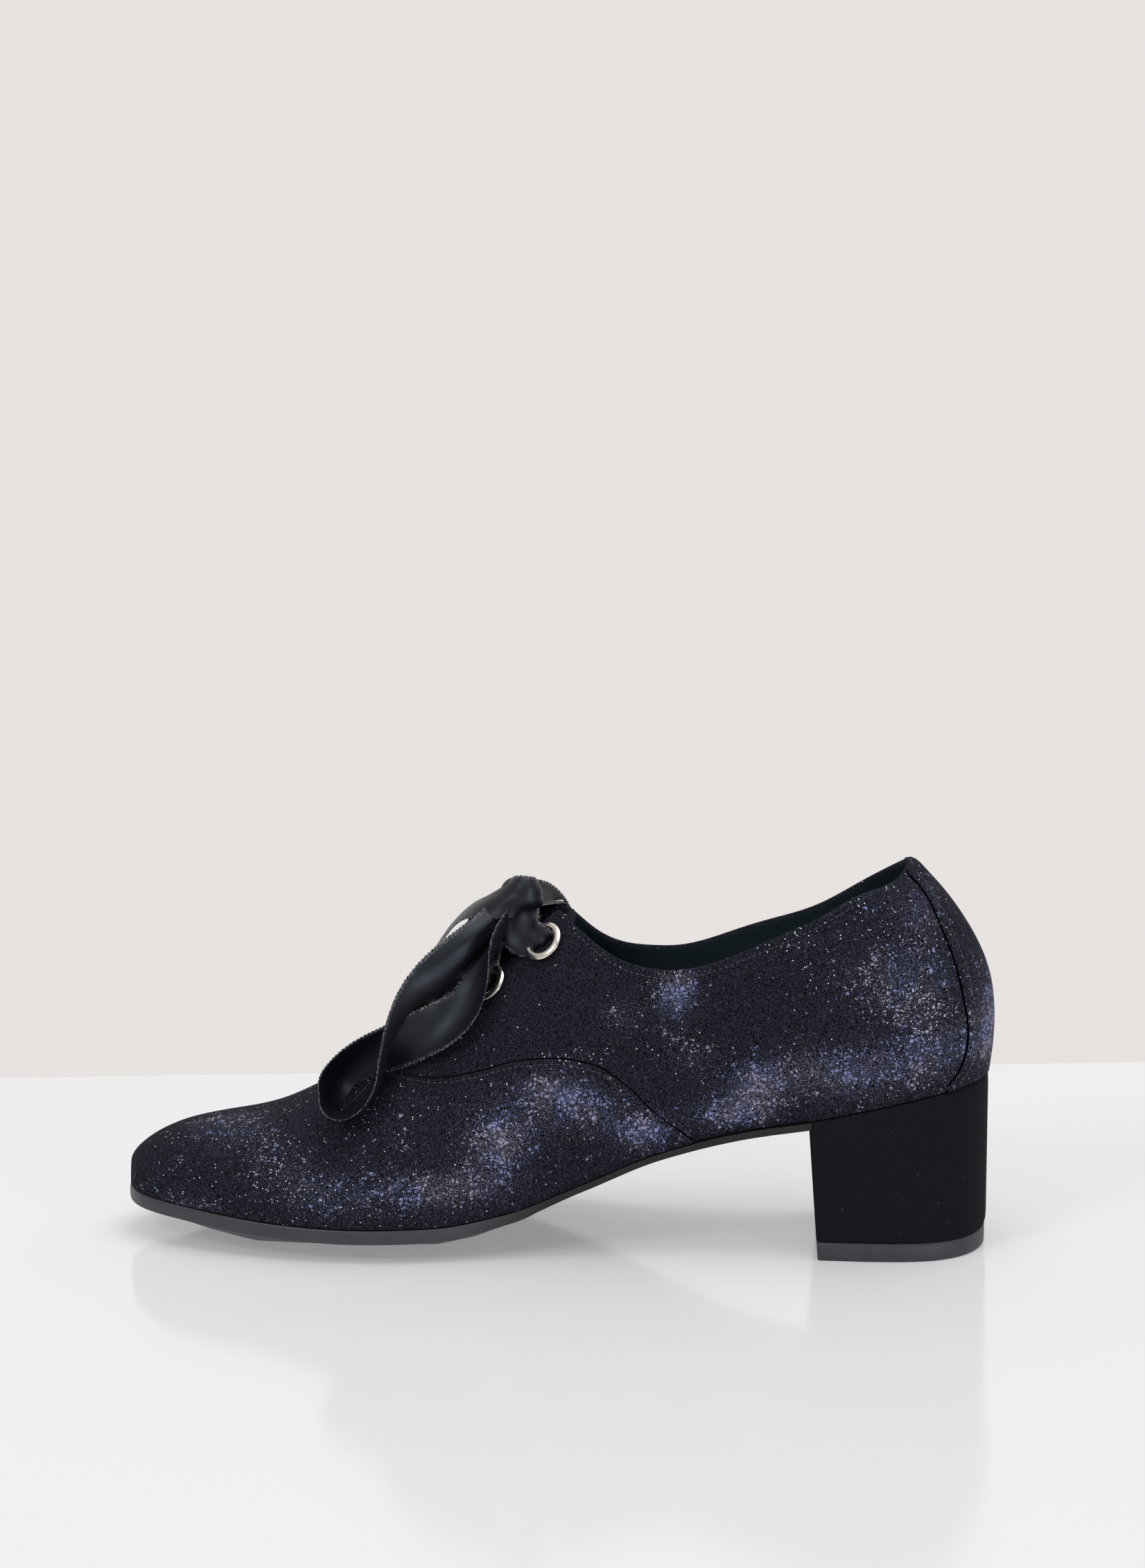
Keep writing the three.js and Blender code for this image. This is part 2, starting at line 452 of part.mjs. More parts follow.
function toSolid(geometry) {
  const mesh = new wasm.Mesh({
    numProp: 3,
    vertProperties: new Float32Array(geometry.attributes.position.array),
    triVerts: new Uint32Array(geometry.index.array),
  });
  return new wasm.Manifold(mesh);
}

// Points closer together than FINE are drawn into one
function toGeometry(solid) {
  const mesh = solid.simplify(FINE).getMesh();
  const geometry = new THREE.BufferGeometry();
  geometry.setAttribute('position', new THREE.Float32BufferAttribute(mesh.vertProperties, 3));
  geometry.setIndex(new THREE.Uint32BufferAttribute(mesh.triVerts, 1));
  return geometry;
}

// A hollow wall between two offsets of the last, open underneath
function shell(outer, inner) {
  const rings = [];
  for (let i = 0; i <= STATIONS; i++) {
    const s = i / STATIONS;
    const ring = [];
    for (let j = -ARC_STEPS; j <= ARC_STEPS; j++) ring.push(shellPoint(s, j / ARC_STEPS, outer));
    for (let j = ARC_STEPS; j >= -ARC_STEPS; j--) ring.push(shellPoint(s, j / ARC_STEPS, inner));
    rings.push(ring);
  }
  return loft(rings, false);
}

// A block of the full width whose outline is a polygon in the side view
function sideBlock(points) {
  const shape = new THREE.Shape(points.map(([x, z]) => new THREE.Vector2(x, z)));
  const geometry = new THREE.ExtrudeGeometry(shape, { depth: 2 * BALL_WIDTH, bevelEnabled: false });
  geometry.rotateX(Math.PI / 2);
  geometry.translate(0, BALL_WIDTH, 0);
  geometry.deleteAttribute('normal');
  geometry.deleteAttribute('uv');
  return toSolid(mergeVertices(geometry, 1e-4));
}

const vampAlong = VAMP_EDGE.map((row) => row.along * LAST_LENGTH);
const vampUp = VAMP_EDGE.map((row) => row.up * INSTEP_HEIGHT);

// The side view's region in front of the vamp's back edge
function vampRegion() {
  const steps = 40;
  const curve = new THREE.SplineCurve(vampAlong.map((x, i) => new THREE.Vector2(x, vampUp[i])));
  const edge = curve.getPoints(steps).map((p) => [p.x, p.y]);
  const front = -LAST_LENGTH * 0.1;
  const end = edge[edge.length - 1];
  return [[front, -BALL_WIDTH], [end[0], -BALL_WIDTH], ...edge.reverse(), [front, vampUp[0]]];
}

// The side view's region behind the back strip's front edge
function stripRegion() {
  const points = STRIP_EDGE.map(
    (row) => new THREE.Vector2(row.along * LAST_LENGTH, HEEL_SEAT + row.up * BACK_HEIGHT)
  );
  const edge = new THREE.SplineCurve(points).getPoints(30).map((p) => [p.x, p.y]);
  const back = LAST_LENGTH * 1.1;
  return [...edge, [back, HEEL_SEAT + STRIP_TOP * BACK_HEIGHT], [back, edge[0][1]]];
}

// Everything above the topline, as one block whose floor is ruled from the near to the far line
function collarCutter() {
  const at = TOPLINE.map((row) => row.along);
  const near = spline(at, TOPLINE.map((row) => row.near));
  const far = spline(at, TOPLINE.map((row) => row.far));
  const ceiling = HEEL_SEAT + 3 * BACK_HEIGHT;
  const steps = 40;
  const rings = [];
  for (let i = 0; i <= steps; i++) {
    const along = at[0] + ((1.08 - at[0]) * i) / steps;
    const s = stationAt(Math.min(along, 1));
    const x = along * LAST_LENGTH;
    const low = seatHeight(s, -1) + BACK_HEIGHT * near(along);
    const high = seatHeight(s, 1) + BACK_HEIGHT * far(along);
    const half = BALL_WIDTH * 0.3;
    const spare = BALL_WIDTH * 0.5;
    rings.push([
      new THREE.Vector3(x, -spare, ceiling),
      new THREE.Vector3(x, -spare, low),
      new THREE.Vector3(x, -half, low),
      new THREE.Vector3(x, half, high),
      new THREE.Vector3(x, spare, high),
      new THREE.Vector3(x, spare, ceiling),
    ]);
  }
  return toSolid(loft(rings));
}

// The slot between the facings, round at its lower end, cut straight down through the crest
function throatCutter() {
  const shape = new THREE.Shape();
  const radius = THROAT_GAP / 2;
  shape.absarc(THROAT_START + radius, 0, radius, Math.PI / 2, Math.PI * 1.5, false);
  shape.lineTo(FACING_TOP + EYELET_OUTER, -radius);
  shape.lineTo(FACING_TOP + EYELET_OUTER, radius);
  shape.closePath();
  const geometry = new THREE.ExtrudeGeometry(shape, { depth: 2 * INSTEP_HEIGHT, bevelEnabled: false, curveSegments: 8 });
  geometry.translate(0, throatY, 2.5 * FOREFOOT_HEIGHT);
  geometry.deleteAttribute('normal');
  geometry.deleteAttribute('uv');
  return toSolid(mergeVertices(geometry, 1e-4));
}
const throatY = lastPoint(stationAt(THROAT_START / LAST_LENGTH), 0).y;

// Place and direction of each eyelet, found on the upper by walking down from the crest
function eyeletSeat(row, side) {
  const x = THREE.MathUtils.lerp(THROAT_START, FACING_TOP, EYELET_ROWS[row]);
  let t = 0;
  let walked = 0;
  const s = stationAt(x / LAST_LENGTH);
  while (walked < EYELET_REACH && t < 0.9) {
    const next = t + 0.005;
    walked += lastPoint(s, side * next).distanceTo(lastPoint(s, side * t));
    t = next;
  }
  return { place: lastPoint(s, side * t), out: lastNormal(s, side * t), s, t: side * t };
}

const seats = [];
for (const [name, side] of [['near', -1], ['far', 1]]) {
  for (let row = 0; row < EYELET_ROWS.length; row++) {
    seats.push({ name: `eyelet_${name}_${row + 1}`, side, row, ...eyeletSeat(row, side) });
  }
}

function turnTo(out) {
  return new THREE.Quaternion().setFromUnitVectors(new THREE.Vector3(0, 1, 0), out);
}

function upperGeometry() {
  const base = toSolid(shell(0, -WALL));
  const proud = toSolid(shell(OVERLAY, -WALL / 2));
  const vamp = proud.intersect(sideBlock(vampRegion()));
  const strip = proud.intersect(sideBlock(stripRegion()));
  let upper = base.add(vamp).add(strip).subtract(collarCutter()).subtract(throatCutter());
  for (const seat of seats) {
    const radius = EYELET_HOLE / 2 + EYELET_WALL + CLEARANCE;
    const hole = new THREE.CylinderGeometry(radius, radius, WALL * 6, ROUND_SEGMENTS);
    hole.applyQuaternion(turnTo(seat.out));
    hole.translate(seat.place.x, seat.place.y, seat.place.z);
    hole.deleteAttribute('normal');
    hole.deleteAttribute('uv');
    upper = upper.subtract(toSolid(mergeVertices(hole, 1e-4)));
  }
  return toGeometry(upper);
}

// The sole's section on one side, from the middle of the top round the edge to the tread's middle.
// waist blends the tread into an underside that runs along under the foot's bed.
function soleSide(s, side, tread, crown, waist, thickness) {
  const edge = (margin, drop) => {
    const point = edgePoint(s, side, margin);
    point.z -= drop + SEAT_GAP;
    return point;
  };
  const middle = edgePoint(s, -1).add(edgePoint(s, 1)).multiplyScalar(0.5);
  const rim = edge(SOLE_MARGIN * 0.2, thickness - SEAT_GAP);
  const under = (share, rise) => {
    const point = rim.clone().lerp(middle, share);
    const raised = bedHeight(point.x, point.y) - SEAT_GAP - thickness;
    point.z = THREE.MathUtils.lerp(tread + rise * crown, raised, waist);
    return point;
  };
  const top = bedPoint(s, side, 0, 0.6);
  top.z -= SEAT_GAP;
  return [
    top,
    edge(SOLE_MARGIN * 0.6, 0),
    edge(SOLE_MARGIN, thickness * 0.16),
    edge(SOLE_MARGIN * 1.05, thickness * 0.5),
    edge(SOLE_MARGIN * 0.8, thickness * 0.85),
    rim,
    under(0.2, 0.64),
    under(0.36, 0.3),
    under(0.5, 0),
  ];
}

const BREAST = LAST_LENGTH - HEEL_LENGTH; // x of the heel's front at the seat

function outsoleGeometry() {
  const at = TREAD.map((row) => row.along);
  const height = soft(at, TREAD.map((row) => row.height * FOREFOOT_HEIGHT));
  const crownAt = soft(at, TREAD.map((row) => row.crown * FOREFOOT_HEIGHT));
  const endStation = stationAt((BREAST - CLEARANCE) / LAST_LENGTH);
  const rings = [];
  for (let i = 0; i <= SOLE_STATIONS; i++) {
    const s = (endStation * i) / SOLE_STATIONS;
    const along = alongAt(s);
    const thickness = THREE.MathUtils.lerp(BAND_FRONT, BAND_WAIST, smooth(0.34, 0.54, along));
    const waist = smooth(at[at.length - 2], at[at.length - 1] + WAIST_BLEND, along);
    const tread = Math.max(height(along), 0);
    const near = soleSide(s, -1, tread, crownAt(along), waist, thickness);
    const far = soleSide(s, 1, tread, crownAt(along), waist, thickness);
    rings.push([...near, ...far.reverse()]);
  }
  return loft(rings);
}

// Plan outline of the heel from its breast to its back, with the top at the seat
function heelRings(levels, inset) {
  const steps = 14;
  const start = stationAt((BREAST + CLEARANCE) / LAST_LENGTH);
  const rings = [];
  for (let i = 0; i <= steps; i++) {
    const s = start + ((1 - start) * i) / steps;
    const sides = [-1, 1].map((side) =>
      levels.map((level) => {
        const point = edgePoint(s, side, SOLE_MARGIN * 0.5 - inset);
        const top = point.z - SEAT_GAP;
        point.z = level.share * top + level.above;
        const drop = 1 - point.z / top;
        point.x += BREAST_SLANT * drop * (1 - i / steps) ** 2;
        point.x += BACK_HEIGHT * (BACK_CURVE[1].lean - 0.02) * drop * (i / steps) ** 3;
        return point;
      })
    );
    rings.push([...sides[0], ...sides[1].reverse()]);
  }
  return rings;
}

function heelBlockGeometry() {
  const levels = [
    { share: 1, above: 0 },
    { share: 0.66, above: TOP_PIECE * 0.34 },
    { share: 0.33, above: TOP_PIECE * 0.67 },
    { share: 0, above: TOP_PIECE + CLEARANCE },
  ];
  return loft(heelRings(levels, 0));
}

function topPieceGeometry() {
  const levels = [
    { share: 0, above: TOP_PIECE },
    { share: 0, above: TOP_PIECE * 0.2 },
    { share: 0, above: 0 },
  ];
  return loft(heelRings(levels, TOP_PIECE_INSET));
}

// The sock that covers the inside of the bottom
function insoleGeometry() {
  const steps = 28;
  const inset = WALL + 2 * CLEARANCE;
  const first = stationAt(0.014);
  const last = stationAt(0.988);
  const rings = [];
  for (let i = 0; i <= steps; i++) {
    const s = first + ((last - first) * i) / steps;
    const lift = new THREE.Vector3(0, 0, INSOLE_THICKNESS);
    const sides = [-1, 1].map((side) => {
      const bottom = edgePoint(s, side, -inset);
      const half = bedPoint(s, side, -inset, 0.6);
      return [half.clone().add(lift), bottom.clone().add(lift), bottom, half];
    });
    rings.push([...sides[0], ...sides[1].reverse()]);
  }
  return loft(rings);
}

// The tongue lies under the facings and the eyelets' backs, from the same surface as the upper
function tongueGeometry() {
  const steps = 12;
  const columns = 5;
  const half = 0.42;
  const from = stationAt((THROAT_START - 12) / LAST_LENGTH);
  const to = stationAt((FACING_TOP + 1) / LAST_LENGTH);
  const rings = [];
  for (let i = 0; i <= steps; i++) {
    const s = from + ((to - from) * i) / steps;
    const outer = -WALL - CLEARANCE - EYELET_BACK * smooth(0, 0.35, i / steps);
    const rounding = 1 - 0.5 * Math.max(0, (i - steps + 2) / 2) ** 2;
    const ring = [];
    const at = (j, depth) => shellPoint(s, (half * rounding * j) / columns, depth);
    for (let j = -columns; j <= columns; j++) ring.push(at(j, outer));
    for (let j = columns; j >= -columns; j--) ring.push(at(j, outer - TONGUE_THICKNESS));
    rings.push(ring);
  }
  return loft(rings);
}

// A rolled metal eyelet: a wide outer lip, a barrel through the wall and a narrow inner lip
function eyeletGeometry() {
  const hole = EYELET_HOLE / 2;
  const barrel = hole + EYELET_WALL;
  const rise = CLEARANCE + EYELET_SAG;
  const under = -WALL - CLEARANCE - EYELET_SAG * 0.8;
  const outer = EYELET_OUTER / 2;
  const profile = [
    [hole, under - EYELET_WALL * 0.5],
    [barrel + 1, under - EYELET_WALL],
    [barrel + 1, under],
    [barrel, under],
    [barrel, rise],
    [outer, rise],
    [outer - 0.5, rise + EYELET_LIP * 0.8],
    [hole + 1, rise + EYELET_LIP],
    [hole, rise + EYELET_LIP * 0.4],
  ].map(([x, y]) => new THREE.Vector2(x, y));
  profile.push(profile[0].clone());
  const geometry = new THREE.LatheGeometry(profile, ROUND_SEGMENTS);
  geometry.deleteAttribute('normal');
  geometry.deleteAttribute('uv');
  return mergeVertices(geometry, 1e-4);
}

// A ribbon along a route: a thin rectangle that turns with the rows' across directions
function ribbonGeometry(rows, steps) {
  const curveOf = (read) => new THREE.CatmullRomCurve3(rows.map(read));
  const path = curveOf((r) => new THREE.Vector3(r.x, r.y, r.z));
  const across = curveOf((r) => new THREE.Vector3(r.ax, r.ay, r.az).normalize());
  const wide = curveOf((r) => new THREE.Vector3(r.wide, 0, 0));
  const rings = [];
  for (let i = 0; i <= steps; i++) {
    const q = i / steps;
    const place = path.getPoint(q);
    const ahead = path.getTangent(q);
    const side = across.getPoint(q).projectOnPlane(ahead).normalize();
    const face = new THREE.Vector3().crossVectors(ahead, side);
    const half = (RIBBON_WIDTH * Math.min(wide.getPoint(q).x, 1)) / 2;
    const thick = RIBBON_THICKNESS / 2;
    rings.push(
      [[-half, thick], [half, thick], [half, -thick], [-half, -thick]].map(([a, b]) =>
        place.clone().addScaledVector(side, a).addScaledVector(face, b)
      )
    );
  }
  return loft(rings);
}

// The lace where it leaves a pair of eyelets and meets over the throat, apex above the crest
function barRows(row, apex) {
  const [near, far] = [-1, 1].map((side) => seats.find((seat) => seat.side === side && seat.row === row));
  const lift = CLEARANCE + EYELET_SAG + EYELET_LIP + CLEARANCE + RIBBON_THICKNESS;
  const along = lastPoint(near.s + 0.01, 0).sub(lastPoint(near.s - 0.01, 0)).normalize();
  const rowAt = (place, wide) => ({
    x: place.x, y: place.y, z: place.z, ax: along.x, ay: along.y, az: along.z, wide,
  });
  const climb = (seat, inward, up, wide) => {
    const t = seat.t * (1 - inward);
    return rowAt(shellPoint(near.s, t, up).add(apexShift.clone().multiplyScalar(inward)), wide);
  };
  const crest = shellPoint(near.s, 0, lift);
  const apexShift = apex ? apex.clone().sub(crest) : new THREE.Vector3();
  const half = (seat) => [
    rowAt(seat.place.clone().addScaledVector(seat.out, -WALL * 0.4), 0.38),
    rowAt(seat.place.clone().addScaledVector(seat.out, lift * 0.7), 0.38),
    climb(seat, 0.2, lift * 1.12, 0.5),
    climb(seat, 0.55, lift * 1.05, 0.8),
  ];
  return [...half(near), rowAt(crest.clone().add(apexShift), apex ? 0.4 : 0.85), ...half(far).reverse()];
}

function knotGeometry() {
  const geometry = new THREE.SphereGeometry(0.5, 12, 8);
  geometry.scale(KNOT.long, KNOT.broad, KNOT.high);
  geometry.rotateY(0.5);
  geometry.translate(knotAt.x, knotAt.y, knotAt.z);
  geometry.deleteAttribute('normal');
  geometry.deleteAttribute('uv');
  return geometryOf(
    Array.from({ length: geometry.attributes.position.count }, (_, i) =>
      new THREE.Vector3().fromBufferAttribute(geometry.attributes.position, i)
    ),
    Array.from({ length: geometry.index.count / 3 }, (_, i) => [0, 1, 2].map((k) => geometry.index.getX(3 * i + k)))
  );
}

// A ribbon of the bow, cut back where the knot holds it
function bowRibbon(rows, steps) {
  const placed = rows.map((r) => ({ ...r, x: r.x + knotAt.x, y: r.y + knotAt.y, z: r.z + knotAt.z }));
  const geometry = ribbonGeometry(placed, steps);
  const room = knotGeometry();
  const grow = 1 + (2.4 * CLEARANCE) / KNOT.high;
  room.translate(-knotAt.x, -knotAt.y, -knotAt.z);
  room.scale(grow, grow, grow);
  room.translate(knotAt.x, knotAt.y, knotAt.z);
  return toGeometry(toSolid(geometry).subtract(toSolid(room)));
}

// The finished shoe
const finishes = {
  suede: new THREE.MeshStandardMaterial({ color: 0x23242e, roughness: 0.75, metalness: 0.15 }),
  rubber: new THREE.MeshStandardMaterial({ color: 0x1b1c1e, roughness: 0.5, metalness: 0 }),
  cover: new THREE.MeshStandardMaterial({ color: 0x0d0d0f, roughness: 0.95, metalness: 0 }),
  lining: new THREE.MeshStandardMaterial({ color: 0x12282b, roughness: 0.9, metalness: 0 }),
  nickel: new THREE.MeshStandardMaterial({ color: 0xc9c2b4, roughness: 0.25, metalness: 1 }),
  satin: new THREE.MeshStandardMaterial({ color: 0x14161c, roughness: 0.4, metalness: 0 }),
};

const shoe = new THREE.Group();
function addPiece(name, geometry, finish) {
  const mesh = new THREE.Mesh(geometry, finishes[finish]);
  mesh.name = name;
  shoe.add(mesh);
  return mesh;
}

addPiece('outsole', outsoleGeometry(), 'rubber');
addPiece('heel_block', heelBlockGeometry(), 'cover');
addPiece('heel_top_piece', topPieceGeometry(), 'rubber');
addPiece('insole', insoleGeometry(), 'lining');
addPiece('upper', upperGeometry(), 'suede');
addPiece('tongue', tongueGeometry(), 'suede');
for (const seat of seats) {
  const eyelet = addPiece(seat.name, eyeletGeometry(), 'nickel');
  eyelet.position.copy(seat.place);
  eyelet.quaternion.copy(turnTo(seat.out));
}

addPiece('lace_bar_low', ribbonGeometry(barRows(0), 22), 'satin');
addPiece('lace_bar_mid', ribbonGeometry(barRows(1), 22), 'satin');

// The shoe without its bow is what stands centred over the origin
const box = new THREE.Box3().setFromObject(shoe);
const middle = box.getCenter(new THREE.Vector3());
shoe.position.set(-middle.x, -middle.y, -box.min.z);

const knotFoot = knotAt.clone();
knotFoot.z -= KNOT.high / 2 + RIBBON_WIDTH * 0.22;
addPiece('lace_bar_top', ribbonGeometry(barRows(2, knotFoot), 22), 'satin');
addPiece('bow_knot', knotGeometry(), 'satin');
addPiece('bow_loop_near', bowRibbon(NEAR_LOOP, 44), 'satin');
addPiece('bow_loop_far', bowRibbon(FAR_LOOP, 36), 'satin');
addPiece('bow_tail_front', bowRibbon(FRONT_TAIL, 20), 'satin');
addPiece('bow_tail_back', bowRibbon(BACK_TAIL, 20), 'satin');

const part = new THREE.Group();
part.add(shoe);
export default part;
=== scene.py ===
# %% [markdown]
# # A lace-up shoe with a block heel and a satin bow
# The shoe is black suede printed with a cracked violet foil, laced with a wide satin ribbon. The
# packed solids are loaded first and stay the measure of everything. This file then works out finer
# surfaces for the same pieces, gives each its finish, and lays them over the solids.

# %% Load the packed shoe
import math

import bpy
import numpy as np
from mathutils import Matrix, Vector


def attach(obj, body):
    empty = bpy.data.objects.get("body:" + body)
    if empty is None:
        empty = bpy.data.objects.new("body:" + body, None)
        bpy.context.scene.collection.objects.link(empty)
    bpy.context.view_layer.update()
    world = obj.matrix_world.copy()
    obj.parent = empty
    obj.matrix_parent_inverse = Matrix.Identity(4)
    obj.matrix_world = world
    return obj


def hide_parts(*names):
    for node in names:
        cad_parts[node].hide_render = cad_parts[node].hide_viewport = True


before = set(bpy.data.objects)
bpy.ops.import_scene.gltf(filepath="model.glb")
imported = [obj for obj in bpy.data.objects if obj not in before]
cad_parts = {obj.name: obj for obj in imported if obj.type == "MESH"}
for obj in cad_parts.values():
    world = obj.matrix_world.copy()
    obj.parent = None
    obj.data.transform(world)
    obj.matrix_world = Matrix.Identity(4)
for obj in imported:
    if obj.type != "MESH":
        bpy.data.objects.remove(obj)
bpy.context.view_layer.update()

# %% [markdown]
# All shapes are worked out in millimetres from the toe tip, because the shoe's sizes are easy to
# read that way. MIDDLE is the place in those millimetres that stands over the row's origin.

# %% Units
MM = 0.001
MIDDLE = np.array([122.6327, 5.8832, 0.0])


def to_row(points):
    """Millimetres from the toe tip to metres from the row's origin: subtract MIDDLE, divide by 1000."""
    return (np.asarray(points, dtype=float) - MIDDLE) * MM


print("toe tip stands at", to_row((0, 0, 0)).round(4))

# %% [markdown]
# The photograph was taken with a long lens from a little above, nearly square to the shoe's inner
# side. A long lens far away keeps the toe and the heel at the same scale. The place and the two
# angles come from matching the outline of the solids with the outline in the photograph.

# %% Camera
CAMERA_PLACE = (0.06656, -1.35141, 0.38119)
CAMERA_PITCH = 10.515  # degrees below the horizon
CAMERA_TURN = 2.664  # degrees anticlockwise, seen from above
CAMERA_LENS = 111.36  # for a 36 mm sensor along the picture's height

camera_data = bpy.data.cameras.new("studio camera")
camera_data.lens = CAMERA_LENS
camera_data.sensor_fit = "AUTO"
camera_data.sensor_width = 36.0
camera_data.clip_end = 20.0
camera = bpy.data.objects.new("studio camera", camera_data)
camera.location = CAMERA_PLACE
camera.rotation_euler = (math.radians(90 - CAMERA_PITCH), 0.0, math.radians(CAMERA_TURN))
bpy.context.scene.collection.objects.link(camera)
bpy.context.scene.camera = camera
print("camera stands", round(math.dist(CAMERA_PLACE, (0, 0, 0.05)), 3), "m away")

# %% [markdown]
# Every new piece is a grid of points, or a few grids sewn together along shared borders. One helper
# turns grids into a mesh: it joins neighbours into faces, sews points that coincide, and keeps
# values given for each point as attributes, so that a pattern can follow the surface.

# %% Grids to meshes


def shade(name, colour, roughness):
    """A plain finish to begin with; the real ones are built further down."""
    finish = bpy.data.materials.new(name)
    finish.use_nodes = True
    shader = finish.node_tree.nodes["Principled BSDF"]
    shader.inputs["Base Color"].default_value = (*colour, 1.0)
    shader.inputs["Roughness"].default_value = roughness
    return finish


def quads(rows, columns, first=0, around=False, across=False):
    """The four corners of each cell of a rows by columns grid; around joins the last column to the
    first, across joins the last row to the first."""
    r = np.arange(rows if across else rows - 1)
    c = np.arange(columns if around else columns - 1)
    r, c = np.meshgrid(r, c, indexing="ij")
    r2, c2 = (r + 1) % rows, (c + 1) % columns
    corners = np.stack([r * columns + c, r2 * columns + c, r2 * columns + c2, r * columns + c2], -1)
    return corners.reshape(-1, 4) + first


def sew(points, faces, marks, reach=0.004):
    """Points closer than reach mm become one."""
    keys = np.round(points / reach).astype(np.int64)
    _, first, where = np.unique(keys, axis=0, return_index=True, return_inverse=True)
    where = where.reshape(-1)
    return points[first], where[faces], {k: v[first] for k, v in marks.items()}


def make_mesh(name, grids, finishes, marks=None):
    """grids is a list of (points (n, m, 3) in mm, around, across, finish index or one per cell).
    marks is {attribute name: list of one value array per grid}. Returns the new object."""
    points, faces, slots, first = [], [], [], 0
    for grid, around, across, slot_of in grids:
        n, m = grid.shape[:2]
        cells = quads(n, m, first, around, across)
        faces.append(cells)
        slots.append(np.broadcast_to(np.ravel(slot_of), (len(cells),)))
        points.append(grid.reshape(-1, 3))
        first += n * m
    points, faces, slots = np.concatenate(points), np.concatenate(faces), np.concatenate(slots)
    marks = {k: np.concatenate([np.ravel(a) for a in v]) for k, v in (marks or {}).items()}
    points, faces, marks = sew(points, faces, marks)
    tris = np.concatenate([faces[:, [0, 1, 2]], faces[:, [0, 2, 3]]])
    slots = np.concatenate([slots, slots])
    good = (tris[:, 0] != tris[:, 1]) & (tris[:, 1] != tris[:, 2]) & (tris[:, 2] != tris[:, 0])
    tris, slots = tris[good], slots[good]
    _, where, times = np.unique(np.sort(tris, 1), axis=0, return_inverse=True, return_counts=True)
    single = times[where.reshape(-1)] == 1  # a wall between two joined grids would be there twice
    tris, slots = tris[single], slots[single]
    a, b, c = points[tris[:, 0]], points[tris[:, 1]], points[tris[:, 2]]
    if np.einsum("ij,ij->i", a - points.mean(0), np.cross(b - a, c - a)).sum() < 0:
        tris = tris[:, ::-1]
    mesh = bpy.data.meshes.new(name)
    mesh.vertices.add(len(points))
    mesh.vertices.foreach_set("co", to_row(points).astype(np.float32).ravel())
    mesh.loops.add(len(tris) * 3)
    mesh.loops.foreach_set("vertex_index", tris.astype(np.int32).ravel())
    mesh.polygons.add(len(tris))
    mesh.polygons.foreach_set("loop_start", np.arange(0, len(tris) * 3, 3, dtype=np.int32))
    mesh.polygons.foreach_set("material_index", slots.astype(np.int32))
    mesh.polygons.foreach_set("use_smooth", np.full(len(tris), True))
    for key, values in marks.items():
        mesh.attributes.new(key, "FLOAT", "POINT").data.foreach_set("value", values.astype(np.float32))
    mesh.update(calc_edges=True)
    mesh.validate()
    for finish in finishes:
        mesh.materials.append(finish)
    thing = bpy.data.objects.new(name, mesh)
    bpy.context.scene.collection.objects.link(thing)
    print(name, "triangles:", len(tris))
    return thing


print("cells of a 3 by 4 grid:", len(quads(3, 4)))

# %% [markdown]
# The last is the foot-shaped form that a shoe is built on, and nearly every piece here is an offset
# of it. The same table as in the solids gives its section at stations from toe to heel: half widths,
# heights and how each side of the section bulges. Splines through the table's columns make it
# smooth, and because they are worked out on whole arrays, a very fine surface costs little.

# %% Sizes of the last, in millimetres
LAST_LENGTH = 245.6
BALL_WIDTH = 80.0
INSTEP_HEIGHT = 84.0
BACK_HEIGHT = 64.0
HEEL_SEAT = 50.6
FOREFOOT_HEIGHT = 10.0
TOE_SPRING = 4.0
WALL = 2.0
OVERLAY = 0.8
CLIMB = HEEL_SEAT - FOREFOOT_HEIGHT
BACK_LEAN_FROM = 0.6
THROAT_START = 76.0
FACING_TOP = 123.0
THROAT_GAP = 8.0

LAST_COLUMNS = (
    "along", "near", "far", "near_rise", "far_rise", "spring", "crest", "rise", "flat", "bulge",
)
LAST = np.array([
    (0, -0.03, 0.03, 0, 0, 1, 0.06, 0.6, 0.6, 0),
    (0.02, 0.15, 0.2, 0, 0, 0.93, 0.14, 0.6, 0.6, 0.004),
    (0.057, 0.235, 0.295, 0, 0, 0.75, 0.203, 0.58, 0.6, 0.012),
    (0.11, 0.312, 0.388, 0, 0, 0.45, 0.253, 0.56, 0.58, 0.018),
    (0.18, 0.388, 0.48, 0, 0, 0.16, 0.312, 0.52, 0.56, 0.02),
    (0.27, 0.429, 0.556, 0, 0, 0, 0.465, 0.47, 0.56, 0.02),
    (0.36, 0.412, 0.575, 0.01, 0, 0, 0.675, 0.47, 0.66, 0.02),
    (0.44, 0.362, 0.537, 0.085, 0.01, 0, 0.862, 0.48, 0.72, 0.03),
    (0.53, 0.319, 0.462, 0.285, 0.13, 0, 1.0, 0.5, 0.75, 0.045),
    (0.62, 0.3, 0.394, 0.51, 0.36, 0, 1.085, 0.5, 0.78, 0.055),
    (0.72, 0.302, 0.348, 0.67, 0.6, 0, 1.09, 0.5, 0.76, 0.055),
    (0.8, 0.322, 0.335, 0.755, 0.72, 0, 1.07, 0.48, 0.7, 0.055),
    (0.88, 0.332, 0.332, 0.86, 0.85, 0, 1.04, 0.46, 0.6, 0.05),
    (0.94, 0.303, 0.303, 0.94, 0.94, 0, 1, 0.46, 0.5, 0.035),
    (0.98, 0.206, 0.206, 0.99, 0.99, 0, 0.96, 0.46, 0.45, 0.015),
    (1, 0, 0, 1, 1, 0, 0.94, 0.46, 0.45, 0),
])
